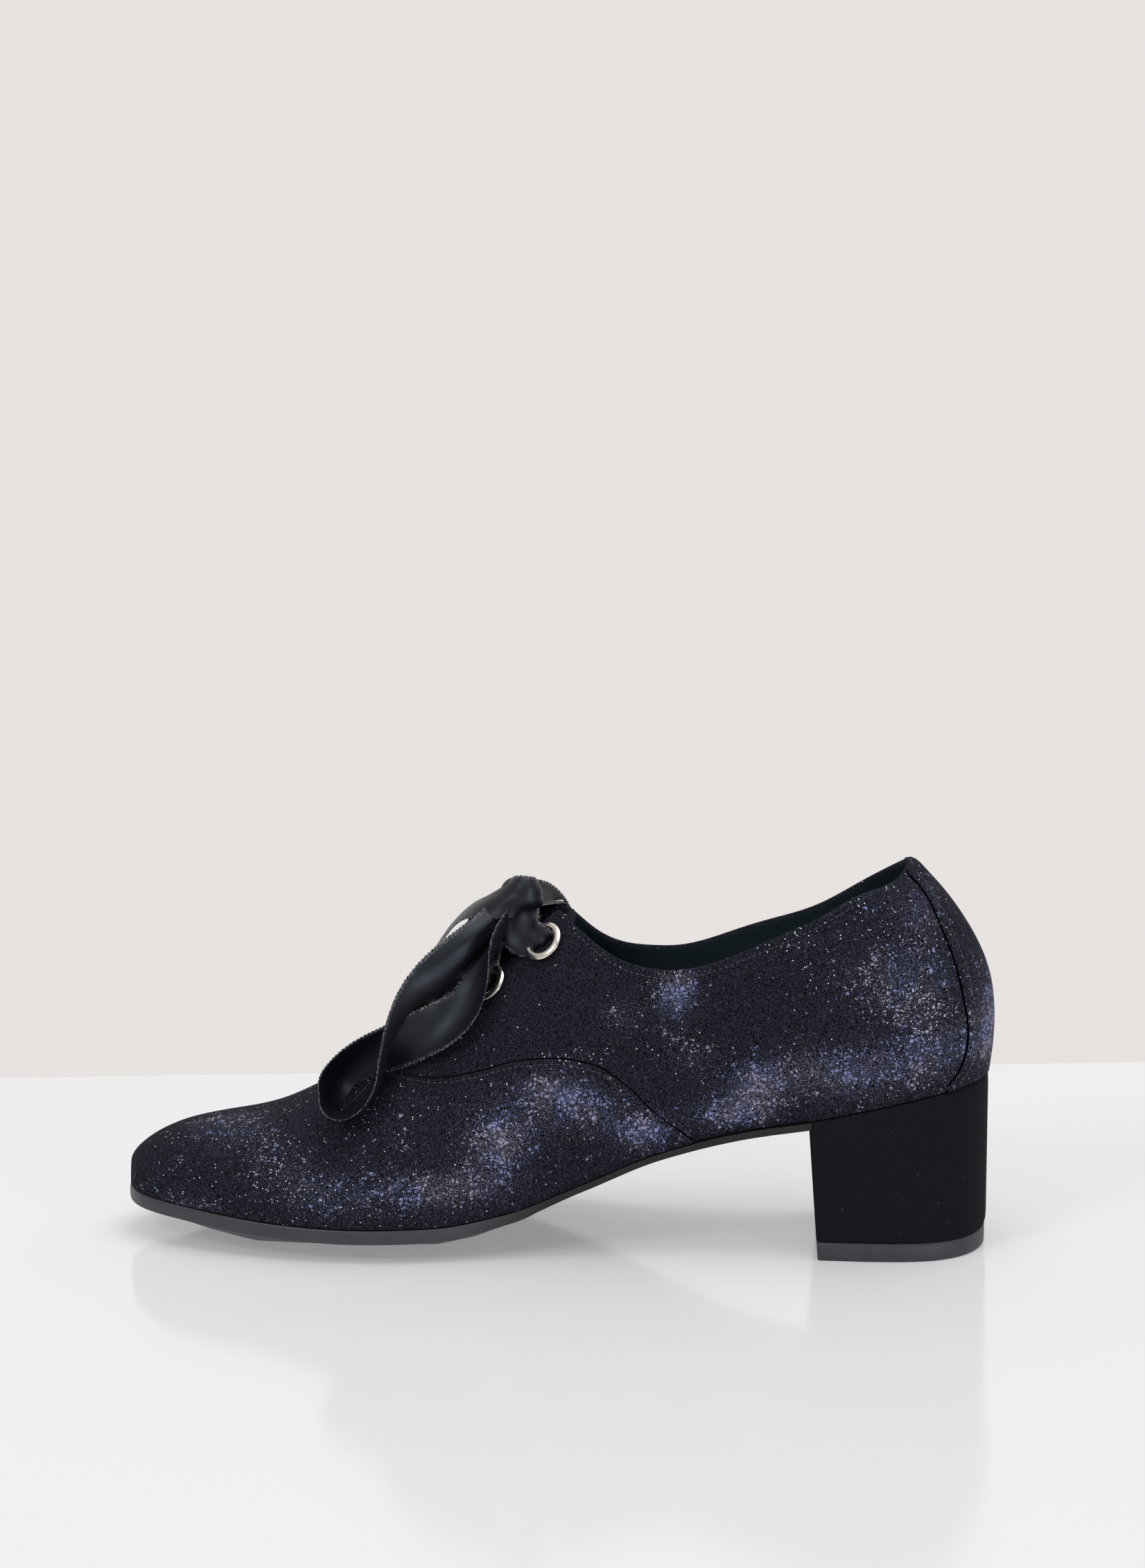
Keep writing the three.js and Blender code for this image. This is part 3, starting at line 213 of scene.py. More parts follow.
BACK_CURVE = np.array([
    (-0.8, 0.018), (0, 0.018), (0.12, 0.004), (0.26, 0), (0.4, 0.016),
    (0.52, 0.055), (0.66, 0.131), (0.79, 0.225), (0.92, 0.342), (1.3, 0.64),
])
TOPLINE = np.array([  # along, near, far
    (0.44, 1.5, 1.66), (0.497, 1.22, 1.3), (0.525, 1.115, 1.13), (0.56, 0.97, 0.98),
    (0.6, 0.85, 0.88), (0.64, 0.79, 0.82), (0.69, 0.785, 0.8), (0.745, 0.835, 0.81),
    (0.8, 0.9, 0.835), (0.85, 0.96, 0.9), (0.892, 0.98, 0.975), (0.912, 1.025, 1.025),
    (1, 1.045, 1.045),
])
VAMP_EDGE = np.array([
    (0.297, 0.9), (0.299, 0.65), (0.317, 0.605), (0.362, 0.608), (0.412, 0.636), (0.457, 0.672),
    (0.503, 0.684), (0.544, 0.664), (0.58, 0.598), (0.615, 0.498), (0.655, 0.41), (0.695, 0.3),
])
STRIP_EDGE = np.array([
    (0.9, -0.25), (0.945, -0.03), (0.96, 0.04), (0.971, 0.14), (0.972, 0.27), (0.967, 0.38),
    (0.956, 0.54), (0.937, 0.71), (0.918, 0.835), (0.895, 0.925),
])
STRIP_TOP = 0.94
print("half width at the ball:", round(BALL_WIDTH * LAST[5, 2], 1), "mm")

# %% Splines on whole arrays


def spline(ats, values):
    """The natural cubic spline: second slopes from one linear system, then a cubic in each span."""
    ats, values = np.asarray(ats, float), np.asarray(values, float)
    n = len(ats)
    gap = np.diff(ats)
    system = np.eye(n)
    right = np.zeros(n)
    for i in range(1, n - 1):
        system[i, i - 1:i + 2] = gap[i - 1], 2 * (gap[i - 1] + gap[i]), gap[i]
        right[i] = 6 * ((values[i + 1] - values[i]) / gap[i] - (values[i] - values[i - 1]) / gap[i - 1])
    bend = np.linalg.solve(system, right)

    def curve(at):
        x = np.clip(at, ats[0], ats[-1])
        k = np.clip(np.searchsorted(ats, x, side="right") - 1, 0, n - 2)
        width = gap[k]
        a = (ats[k + 1] - x) / width
        b = 1 - a
        cubic = ((a**3 - a) * bend[k] + (b**3 - b) * bend[k + 1]) * width * width / 6
        return a * values[k] + b * values[k + 1] + cubic

    return curve


def soft(ats, values):
    """Straight pieces with soft corners and no overshoot: Hermite cubics with harmonic slopes."""
    ats, values = np.asarray(ats, float), np.asarray(values, float)
    slopes = np.diff(values) / np.diff(ats)
    left, right = slopes[:-1], slopes[1:]
    total = np.where(np.abs(left + right) < 1e-12, 1, left + right)
    slope = np.concatenate([[0], np.where(left * right <= 0, 0, 2 * left * right / total), [0]])

    def curve(at):
        x = np.clip(at, ats[0], ats[-1])
        k = np.clip(np.searchsorted(ats, x, side="right") - 1, 0, len(ats) - 2)
        width = ats[k + 1] - ats[k]
        q = (x - ats[k]) / width
        return (values[k] * (1 + 2 * q) * (1 - q)**2 + slope[k] * width * q * (1 - q)**2
                + values[k + 1] * q * q * (3 - 2 * q) + slope[k + 1] * width * q * q * (q - 1))

    return curve


def smooth(low, high, x):
    """0 below low, 1 above high, and a smooth S between."""
    q = np.clip((x - low) / (high - low), 0, 1)
    return q * q * (3 - 2 * q)


def station_at(along):
    """Stations crowd at both round ends: s = arccos(1 - 2 along) / pi."""
    return np.arccos(np.clip(1 - 2 * np.asarray(along, float), -1, 1)) / np.pi


def along_at(s):
    """The share of the length at a station: (1 - cos(pi s)) / 2."""
    return (1 - np.cos(np.pi * np.asarray(s, float))) / 2


last = {}
for column, heading in enumerate(LAST_COLUMNS[1:], start=1):
    make = soft if heading in ("near_rise", "far_rise", "spring") else spline
    last[heading] = make(station_at(LAST[:, 0]), LAST[:, column])
back_lean = spline(BACK_CURVE[:, 0], BACK_CURVE[:, 1])
vamp_edge = soft(VAMP_EDGE[:, 0], VAMP_EDGE[:, 1])
strip_front = spline(STRIP_EDGE[:, 1], STRIP_EDGE[:, 0])
print("last:", len(LAST), "sections,", len(last), "columns")

# %% [markdown]
# A point of the last has two numbers: s, the station from toe (0) to heel (1), and t, which runs
# from -1 at the near bottom edge over 0 on the crest to +1 at the far bottom edge. Offsets of the
# last along its outward direction give every wall, lining, overlay and edge its thickness.

# %% The last's surface


def seat_height(s, side):
    """Height of the bottom edge: forefoot + toe spring + the climb to the heel on that side."""
    rise = np.where(side < 0, last["near_rise"](s), last["far_rise"](s))
    return FOREFOOT_HEIGHT + TOE_SPRING * last["spring"](s) + CLIMB * rise


def station_x(s, z):
    """Length times along, less the lean of the back at that height."""
    along = along_at(s)
    lean = back_lean((z - HEEL_SEAT) / BACK_HEIGHT)
    return LAST_LENGTH * along - BACK_HEIGHT * lean * smooth(BACK_LEAN_FROM, 1, along)


def last_point(s, t, side=None):
    """One cubic curve a side from the bottom edge to the crest, placed at the station's x."""
    s, t = np.broadcast_arrays(np.asarray(s, float), np.asarray(t, float))
    side = np.where(t < 0, -1.0, 1.0) if side is None else side
    crest_y = (last["far"](s) - last["near"](s)) * 0.14 * BALL_WIDTH
    start_y = side * BALL_WIDTH * np.where(side < 0, last["near"](s), last["far"](s))
    tip = BALL_WIDTH * LAST[0, 2]
    end_y = np.where(s <= 0, start_y, tip + (crest_y - tip) * smooth(0, 0.3, s))
    start_z = seat_height(s, side)
    end_z = (seat_height(s, -1) + seat_height(s, 1)) / 2 + INSTEP_HEIGHT * last["crest"](s)
    first_y = start_y + side * BALL_WIDTH * last["bulge"](s)
    first_z = start_z + (end_z - start_z) * last["rise"](s)
    second_y = end_y + (start_y - end_y) * last["flat"](s)
    p = np.abs(t)
    q = 1 - p
    y = p**3 * start_y + 3 * p * p * q * first_y + 3 * p * q * q * second_y + q**3 * end_y
    z = p**3 * start_z + 3 * p * p * q * first_z + 3 * p * q * q * end_z + q**3 * end_z
    return np.stack([station_x(s, z), y, z], -1)


def unit(v):
    """Each vector divided by its length."""
    return v / np.maximum(np.linalg.norm(v, axis=-1, keepdims=True), 1e-12)


def walked_along(points):
    """The length walked up to each point: the running sum of the steps."""
    return np.concatenate([[0], np.cumsum(np.linalg.norm(np.diff(points, axis=0), axis=1))])


def at_lengths(at, walked, points):
    """The places at the given lengths along a line of points, each coordinate on straight steps."""
    return np.stack([np.interp(at, walked, column) for column in points.T], -1)


def side_normal(s, t):
    """Cross product of the slopes along s and t."""
    at = np.clip(s, 0.012, 0.988)
    side = np.where(t < 0, -1.0, 1.0)
    ds = last_point(at + 0.004, t, side) - last_point(at - 0.004, t, side)
    low = np.where(side < 0, np.maximum(t - 0.01, -1), np.maximum(t - 0.01, 0))
    high = np.where(side < 0, np.minimum(t + 0.01, 0), np.minimum(t + 0.01, 1))
    dt = last_point(at, high, side) - last_point(at, low, side)
    return unit(np.cross(ds, dt))


def last_normal(s, t):
    """The outward direction, blended over the crest and at both ends, where the sides meet."""
    s, t = np.broadcast_arrays(np.asarray(s, float), np.asarray(t, float))
    own = side_normal(s, np.where(np.abs(t) < 0.03, np.where(t < 0, -0.03, 0.03), t))
    other = side_normal(s, np.where(t < 0, np.maximum(-t, 0.03), -np.maximum(t, 0.03)))
    share = 0.5 * np.clip(1 - np.abs(t) / 0.03, 0, 1)
    ends = 0.5 * np.maximum(1 - smooth(0, 0.02, s), smooth(0.98, 1, s))
    share = np.maximum(share, ends)[..., None]
    normal = own * (1 - share) + other * share
    normal[..., 1] *= np.where((s <= 0) | (s >= 1), 0, 1)
    return unit(normal)


def shell_point(s, t, outset):
    """The last's surface moved outwards by outset mm."""
    return last_point(s, t) + last_normal(s, t) * np.asarray(outset, float)[..., None]


print("crest over the ball:", last_point(0.4, 0.0).round(1))

# %% [markdown]
# Finishes are small shader trees. Writing them node by node hides what they do, so one class wraps
# a socket and lets plain arithmetic build the math nodes, and a second one holds the tree.

# %% Shader arithmetic


class Value:
    """A socket in a shader tree. Arithmetic on it adds a math node and gives the new socket."""

    def __init__(self, finish, socket):
        self.finish = finish
        self.socket = socket

    def math(self, operation, other, swapped=False):
        """A math node on this value and the other one, which may be a plain number."""
        pair = (other, self) if swapped else (self, other)
        node = self.finish.tree.nodes.new("ShaderNodeMath")
        node.operation = operation
        for slot, value in zip(node.inputs, pair):
            self.finish.put(slot, value)
        return Value(self.finish, node.outputs[0])

    def __add__(self, other):
        return self.math("ADD", other)

    def __sub__(self, other):
        return self.math("SUBTRACT", other)

    def __rsub__(self, other):
        return self.math("SUBTRACT", other, True)

    def __mul__(self, other):
        return self.math("MULTIPLY", other)

    def __truediv__(self, other):
        return self.math("DIVIDE", other)

    def __pow__(self, other):
        return self.math("POWER", other)

    __radd__ = __add__
    __rmul__ = __mul__


class Finish:
    """A material whose Principled shader is fed by the values worked out in its tree."""

    def __init__(self, material):
        self.material = material
        material.use_nodes = True
        self.tree = material.node_tree
        self.shader = self.tree.nodes["Principled BSDF"]

    def put(self, slot, value):
        """Links a value to a socket, or writes a constant into it."""
        if isinstance(value, Value):
            self.tree.links.new(value.socket, slot)
        else:
            slot.default_value = value

    def node(self, kind, output, settings=None, **values):
        """Any node: settings first, then its inputs by name with _ for a space."""
        node = self.tree.nodes.new(kind)
        for key, setting in (settings or {}).items():
            setattr(node, key, setting)
        for key, value in values.items():
            self.put(node.inputs[key.replace("_", " ")], value)
        return Value(self, node.outputs[output])

    def vector(self, operation, *values):
        """Vector Math on places or colours, in the order of its sockets."""
        node = self.tree.nodes.new("ShaderNodeVectorMath")
        node.operation = operation
        for slot, value in zip(node.inputs, values):
            self.put(slot, value)
        return Value(self, node.outputs[0])

    def place(self):
        """Object coordinates in mm."""
        return self.vector("MULTIPLY", self.node("ShaderNodeTexCoord", "Object"), (1000.0,) * 3)

    def mark(self, name):
        """A value kept on the surface under that name."""
        return self.node("ShaderNodeAttribute", "Fac", {"attribute_name": name})

    def noise(self, where, size, detail=2.0, rough=0.55):
        """About 0.5 on average, with lumps of that size in mm."""
        return self.node("ShaderNodeTexNoise", "Fac", Vector=where, Scale=1 / size, Detail=detail,
                         Roughness=rough)

    def cells(self, where, size, feature="F1", output="Distance"):
        """Cells of that size in mm: the distance to their middle or edge, or a colour for each."""
        return self.node("ShaderNodeTexVoronoi", output, {"feature": feature}, Vector=where,
                         Scale=1 / size)

    def chosen(self, where, size):
        """A number between 0 and 1 for each cell."""
        return self.node("ShaderNodeSeparateColor", "Red", Color=self.cells(where, size, "F1", "Color"))

    def step(self, value, low, high):
        """0 below low, 1 above high, smooth between."""
        return self.node("ShaderNodeMapRange", "Result", {"interpolation_type": "SMOOTHSTEP"},
                         Value=value, From_Min=low, From_Max=high)

    def blend(self, share, a, b):
        """Colour a, turning to b as share goes to 1."""
        node = self.tree.nodes.new("ShaderNodeMix")
        node.data_type = "RGBA"
        self.put(node.inputs["Factor"], share)
        for slot, colour in ((node.inputs[6], a), (node.inputs[7], b)):
            self.put(slot, colour if isinstance(colour, Value) else (*colour, 1.0))
        return Value(self, node.outputs[2])

    def grain(self, height, depth, strength=1.0):
        """The surface normal bent by a height of depth mm."""
        return self.node("ShaderNodeBump", "Normal", Height=height, Distance=depth * MM, Strength=strength)

    def give(self, **values):
        """Feeds the Principled shader's sockets, by name with _ for a space."""
        for key, value in values.items():
            self.put(self.shader.inputs[key.replace("_", " ")], value)


print("shader helpers:", [name for name in vars(Finish) if not name.startswith("_")])

# %% [markdown]
# The upper's leather is black suede with a thin violet foil pressed on in patches. The foil has
# cracked into flakes well under a millimetre wide, dense in the middle of a patch and lonely at its
# rim. Where the patches lie is listed for each side and kept on the surface as a value; the
# shader breaks it up with noise and cuts it into cells.

# %% Foil patches: x, z, reach along, reach up, foil, painted glints
NEAR_FOIL = np.array([
    (107, 35, 11, 11, 0.86, 0.3), (91, 21, 21, 7, 0.74, 0.2), (121, 50, 11, 5, 0.62, 0.3),
    (131, 43, 15, 9, 0.68, 0.3), (148, 36, 9, 6, 0.8, 0.1), (157, 76, 7.5, 9, 0.95, 0.3),
    (140, 70, 7, 5, 0.6, 0.1), (179, 50, 10, 9, 0.75, 0.1), (170, 42, 12, 5, 0.7, 0.1),
    (205, 55, 22, 9, 0.8, 0.1), (230, 62, 12, 10, 0.6, 0.2), (219, 82, 20, 13, 0.62, 0.6),
    (245, 66, 6, 17, 0.75, 0.1), (20, 13, 13, 4, 0.5, 0.1), (26, 34, 16, 6, 0.6, 0.4),
    (46, 25, 12, 9, 0.38, 0.9), (60, 18, 14, 8, 0.45, 0.4), (74, 40, 14, 10, 0.3, 0.6),
    (208, 104, 12, 5, 0.3, 1.4), (192, 92, 8, 4, 0.25, 1.4), (128, 58, 9, 2.5, 0.4, 1.4),
    (225, 100, 8, 8, 0.45, 0.2), (120, 75, 14, 14, -0.4, 0.0), (172, 68, 9, 8, -0.25, 0.0),
    (12, 20, 12, 9, 0.12, 0.3), (100, 60, 12, 8, -0.2, 0.1), (160, 58, 8, 6, 0.45, 0.1),
    (218, 76, 9, 5, 0.1, 1.0),
])
FAR_FOIL = np.array([
    (30, 18, 14, 6, 0.7, 0.2), (66, 30, 16, 10, 0.85, 0.3), (100, 18, 14, 7, 0.8, 0.2),
    (118, 48, 12, 10, 0.75, 0.3), (150, 62, 10, 9, 0.8, 0.3), (168, 40, 16, 7, 0.7, 0.1),
    (196, 60, 14, 12, 0.75, 0.2), (226, 82, 12, 10, 0.5, 0.5), (245, 66, 6, 17, 0.8, 0.1),
    (84, 52, 10, 6, 0.3, 0.6), (120, 76, 14, 12, -0.3, 0.0), (182, 84, 10, 8, -0.2, 0.0),
])


def patches(points):
    """Sums of soft patches in the side view, one table for each side, mixed over the middle."""
    kinds = []
    for column in (4, 5):
        sides = []
        for table in (NEAR_FOIL, FAR_FOIL):
            total = np.zeros(points.shape[:-1])
            for row in table:
                far = ((points[..., 0] - row[0]) / row[2])**2 + ((points[..., 2] - row[1]) / row[3])**2
                total += row[column] * np.exp(-far)
            sides.append(total)
        share = smooth(-6, 6, points[..., 1] - 3)
        kinds.append(sides[0] * (1 - share) + sides[1] * share)
    return {"foil": kinds[0], "sparkle": kinds[1]}


def with_patches(grids):
    """The foil and painted glint values for each grid of a piece, as make_mesh wants them."""
    marks = [patches(grid[0]) for grid in grids]
    return {key: [m[key] for m in marks] for key in ("foil", "sparkle")}


print("foil patches:", len(NEAR_FOIL), "near,", len(FAR_FOIL), "far")

# %% [markdown]
# The foil could be one noise with a threshold, but then it would look like mould. Here clouds of two
# sizes decide how much of a patch has foil, crossing cracks cut it into flakes, and fine dust lies
# around it. Single near-white specks are painted glints, highlights laid into the colour. Between the
# flakes the nap of the suede mottles the black.

# %% Foiled suede
suede = shade("foiled suede", (0.012, 0.012, 0.015), 0.9)
finish = Finish(suede)
where = finish.place()
foil = finish.mark("foil")
clouds = finish.noise(where, 9.0, 2.0) * 1.0 + finish.noise(where, 2.6, 2.0) * 1.9 - 1.45
chance = finish.noise(where, 0.85, 2.0, 0.7)
wander = finish.node("ShaderNodeTexNoise", "Color", Vector=where, Scale=1.2, Detail=1.0)
bent = finish.vector("MULTIPLY_ADD", wander, (0.35, 0.35, 0.35), where)
crack = finish.step(finish.cells(bent, 1.4, "DISTANCE_TO_EDGE"), 0.09, 0.17)
fine_crack = finish.step(finish.cells(bent, 0.6, "DISTANCE_TO_EDGE"), 0.03, 0.12)
cover = foil * 0.66 + clouds + chance * 1.6 - 0.8
flake = finish.step(cover, 0.55, 0.61) * crack * (0.3 + fine_crack * 0.7)
dust = finish.step(foil * 0.3 + finish.noise(where, 0.35, 1.0), 0.68, 0.78) * 0.45
mask = finish.step(flake + dust, 0.1, 0.9)
# Painted highlights: a few small cells turn near white as glints on the foil.
PAINTED_GLINT_CELL = 0.55  # mm
painted_glint_near = 1 - finish.step(finish.cells(where, PAINTED_GLINT_CELL), 0.2, 0.38)
painted_glint_pick = finish.chosen(where, PAINTED_GLINT_CELL) + finish.mark("sparkle") * 0.1
painted_glint = finish.step(painted_glint_pick, 0.991, 0.997) * painted_glint_near
tone = finish.noise(where, 11.0, 2.0)
violet = finish.blend(finish.step(tone, 0.42, 0.62), (0.3, 0.33, 0.62), (0.4, 0.38, 0.52))
worn = finish.blend(0.6, violet, (0.05, 0.05, 0.075))
violet = finish.blend(finish.step(chance, 0.42, 0.66), worn, violet)
nap = finish.noise(where, 0.45, 3.0, 0.85)
black = finish.blend(finish.step(nap, 0.4, 0.68), (0.0005, 0.0005, 0.001), (0.036, 0.037, 0.058))
colour = finish.blend(mask, black, violet)
finish.give(Base_Color=finish.blend(painted_glint, colour, (0.92, 0.94, 1.0)),
            Metallic=mask * 0.55 + painted_glint * 0.3,
            Roughness=0.95 - mask * 0.5 - painted_glint * 0.2,
            Specular_IOR_Level=0.1,
            Normal=finish.grain(nap * 0.5 + mask * 0.6, 0.12, 0.9))
print("foiled suede nodes:", len(finish.tree.nodes))

# %% [markdown]
# Inside, the shoe is lined with dark green suede. The heel is covered with plain black suede, whose
# nap holds a few pale specks of lint. Both are matt, so a fine bump and a mottled colour make them.

# %% Lining and heel suede
lining = shade("lining suede", (0.008, 0.02, 0.023), 0.95)
finish = Finish(lining)
where = finish.place()
nap = finish.noise(where, 0.4, 3.0, 0.7)
finish.give(Base_Color=finish.blend(nap, (0.006, 0.012, 0.015), (0.022, 0.04, 0.048)),
            Specular_IOR_Level=0.2,
            Normal=finish.grain(nap, 0.08, 0.6))

cover = shade("heel cover suede", (0.008, 0.008, 0.009), 0.95)
finish = Finish(cover)
where = finish.place()
nap = finish.noise(where, 0.3, 3.0, 0.75)
LINT_CELL = 1.5  # mm
lint_near = 1 - finish.step(finish.cells(where, LINT_CELL), 0.06, 0.13)
lint = finish.step(finish.chosen(where, LINT_CELL), 0.93, 0.95) * lint_near
plain = finish.blend(nap, (0.0035, 0.0035, 0.005), (0.013, 0.013, 0.018))
finish.give(Base_Color=finish.blend(lint * 0.4, plain, (0.35, 0.35, 0.36)),
            Specular_IOR_Level=0.1,
            Normal=finish.grain(nap, 0.07, 0.6))
print("lining and cover nodes:", len(lining.node_tree.nodes), len(cover.node_tree.nodes))

# %% [markdown]
# The sole is dark grey rubber with a low, uneven gloss. Under the raised waist, where the arch
# keeps the light off, shade is painted in: the place along the shoe fades the grey to near black
# and makes the rubber dull there. The heel's top piece is of a paler, matt rubber.

# %% Rubber
rubber = shade("sole rubber", (0.066, 0.068, 0.084), 0.42)
finish = Finish(rubber)
where = finish.place()
smear = finish.noise(where, 6.0, 3.0)
# painted shade: behind the ball the colour fades to near black under the raised waist
waist = finish.step(finish.node("ShaderNodeSeparateXYZ", "X", Vector=where), -30.0, 0.0)
band_grey = finish.blend(smear, (0.026, 0.026, 0.034), (0.045, 0.046, 0.058))
finish.give(Base_Color=finish.blend(waist, band_grey, (0.007, 0.006, 0.006)),
            Roughness=0.34 + smear * 0.22 + waist * 0.3,
            Normal=finish.grain(finish.noise(where, 0.5, 2.0), 0.02, 0.4))

top_rubber = shade("top piece rubber", (0.045, 0.045, 0.05), 0.55)
finish = Finish(top_rubber)
where = finish.place()
cloudy = finish.noise(where, 3.0, 4.0)
finish.give(Base_Color=finish.blend(cloudy, (0.022, 0.022, 0.029), (0.042, 0.042, 0.053)),
            Normal=finish.grain(finish.noise(where, 0.4, 2.0), 0.03, 0.5))
print("rubber nodes:", len(rubber.node_tree.nodes), len(top_rubber.node_tree.nodes))

# %% [markdown]
# Satin shines because its threads lie side by side. Here a noise drawn out along the ribbon stands
# for the threads, so the shine breaks up across the band. The woven edge is dull; the pale specks
# on its loops are painted highlights.
# The eyelets are nickel, a plain metal with a slightly uneven polish.

# %% Satin and metal
satin = shade("satin ribbon", (0.02, 0.022, 0.03), 0.35)
finish = Finish(satin)
where = finish.node("ShaderNodeCombineXYZ", "Vector",
                    X=finish.mark("along") * 0.35, Y=finish.mark("across") * 42.0)
thread = finish.noise(where, 1.0, 2.0)
selvedge = finish.mark("selvedge")
sheen = finish.noise(finish.place(), 0.16, 1.0)
picot_highlight_specks = finish.noise(finish.place(), 0.5, 0.0)
face_black = finish.blend(thread, (0.0025, 0.003, 0.005), (0.008, 0.009, 0.014))
# painted highlights: pale specks on the dull black edge loops
edge_black_with_painted_highlights = finish.blend(finish.step(picot_highlight_specks, 0.45, 0.6), (0.003, 0.003, 0.005), (0.16, 0.16, 0.18))
finish.give(Base_Color=finish.blend(selvedge, face_black, edge_black_with_painted_highlights),
            Roughness=0.33 + thread * 0.12 + sheen * 0.12,
            Specular_IOR_Level=0.38,
            Specular_Tint=(0.8, 0.88, 1.0, 1.0),
            Normal=finish.grain(thread + sheen * 0.5, 0.03, 0.35))

nickel = shade("eyelet metal", (0.82, 0.77, 0.68), 0.2)
finish = Finish(nickel)
finish.give(Metallic=1.0, Roughness=0.16 + finish.noise(finish.place(), 1.5, 2.0) * 0.14)
print("finishes:", len(bpy.data.materials))

# %% [markdown]
# The ribbon is cut from one roll: satin, 13 mm wide, with small loops of thread along both edges.
# Each stretch is a flat band swept along a route. Its route and the direction across it come from
# tables, measured from the middle of the knot. Where the ribbon is gathered, it bends into a trough
# as deep as it needs to keep its true width.

# %% The bow's routes: x, y, z, direction across, gathered width as a share
RIBBON_WIDTH = 13.0
RIBBON_THICKNESS = 0.36
NEAR_LOOP = np.array([
    (-4.4, -2.5, -4.8, -0.56, -0.51, 0.66, 0.45), (-6.6, -5.5, -8, -0.49, -0.69, 0.53, 0.6),
    (-10.5, -11.5, -11.4, -0.48, -0.56, 0.68, 0.8), (-14.9, -14.2, -15.1, -0.58, -0.45, 0.68, 0.95),
    (-19.9, -16, -19.2, -0.62, -0.3, 0.74, 1), (-24.5, -18, -23.4, -0.58, -0.42, 0.7, 1),
    (-28.7, -20, -27.7, -0.38, -0.68, 0.62, 1), (-32, -22, -31.8, -0.19, -0.85, 0.5, 1),
    (-34, -23.5, -35.8, -0.06, -0.91, 0.41, 1), (-35.6, -24.5, -39.9, 0.04, -0.95, 0.32, 1),
    (-36.5, -25.1, -43.2, 0.08, -0.97, 0.25, 1), (-37.4, -25.5, -46.7, 0.13, -0.97, 0.19, 1),
    (-37.63, -26, -48.11, 0.13, -0.99, 0.16, 1), (-38.9, -26.8, -51.28, 0.21, -0.97, 0.1, 1),
    (-41.48, -27.3, -55.59, 0.21, -0.97, -0.02, 1), (-44.92, -27.2, -57.91, 0.08, -0.98, -0.15, 1),
    (-47.64, -26.4, -59, -0.02, -0.98, -0.15, 1), (-50.38, -24.8, -58.54, -0.08, -0.99, -0.01, 1),
    (-52.32, -23.4, -57.81, -0.21, -0.97, 0.12, 1), (-52.77, -21.6, -55.51, -0.46, -0.83, 0.33, 1),
    (-52.48, -18.8, -53.09, -0.58, -0.75, 0.32, 1), (-50.59, -16.6, -50.09, -0.67, -0.57, 0.47, 1),
    (-47.2, -15.8, -46.93, -0.54, -0.49, 0.69, 1), (-42.55, -16.4, -44.21, -0.44, -0.37, 0.82, 1),
    (-38.18, -17.4, -42.06, -0.25, -0.3, 0.92, 1), (-32.79, -20.2, -40.06, -0.2, -0.12, 0.96, 1),
    (-23.11, -21.5, -34.8, -0.25, 0.12, 0.95, 1), (-16.81, -21, -32.65, -0.31, 0.7, 0.64, 1),
    (-11.86, -20, -28.03, -0.47, 0.77, 0.42, 1), (-10.2, -18.8, -22.5, -0.43, 0.81, 0.4, 0.98),
    (-9, -16.5, -18.9, -0.27, 0.94, 0.21, 0.95), (-7.6, -14.5, -15.3, -0.17, 0.98, 0.07, 0.9),
    (-6.3, -12, -12, -0.13, 0.99, -0.03, 0.8), (-4.9, -9, -9.3, -0.14, 0.99, -0.08, 0.68),
    (-3, -4.5, -6.6, -0.19, 0.98, -0.07, 0.5),
])
FAR_LOOP = np.array([
    (4.6, 2.6, -2.2, 0.15, 0, 0.98, 0.6), (6.4, 0, -1.6, 0.12, 0, 0.99, 0.74),
    (6.4, -3.2, -1, 0.05, -0.05, 0.99, 0.82), (4.2, -5.4, -0.4, 0.05, -0.1, 0.98, 0.85),
    (1, -6.3, 0.1, 0.05, -0.1, 0.98, 0.88), (-3.2, -5.2, -0.2, 0.1, 0.5, 0.82, 0.92),
    (-7.2, -1.8, -1.5, 0, 0.97, 0.2, 0.97), (-11.4, 2.8, -3.9, -0.05, 0.99, -0.06, 1),
    (-15.6, 7.5, -7.4, -0.1, 0.99, -0.13, 1), (-19.4, 12, -12, -0.12, 0.98, -0.2, 1),
    (-22.9, 16, -17.2, -0.12, 0.97, -0.22, 1), (-25.6, 19.5, -22.5, -0.12, 0.97, -0.24, 1),
    (-27.4, 23, -27, -0.12, 0.96, -0.25, 1), (-28.8, 26.5, -31, -0.12, 0.96, -0.25, 1),
    (-29, 29.5, -34.5, 0, 0.97, -0.2, 1), (-27.8, 31, -37, 0.2, 0.95, 0.1, 1),
    (-25.4, 31, -37, 0.35, 0.9, 0.2, 1), (-23, 29, -34, 0.3, 0.9, 0.2, 1),
    (-20.6, 26, -29.5, 0.2, 0.93, 0.1, 1), (-18.2, 22.5, -24.5, 0.15, 0.95, 0, 1),
    (-15.6, 18.5, -19.5, 0.1, 0.95, 0, 1), (-13.6, 14.6, -17, 0.1, 0.95, 0, 1),
    (-10.4, 10.4, -13.4, 0.1, 0.95, 0, 0.9), (-7, 6.6, -9.8, 0.1, 0.95, 0.1, 0.7),
    (-4, 3.6, -6.4, 0.1, 0.95, 0.1, 0.5),
])
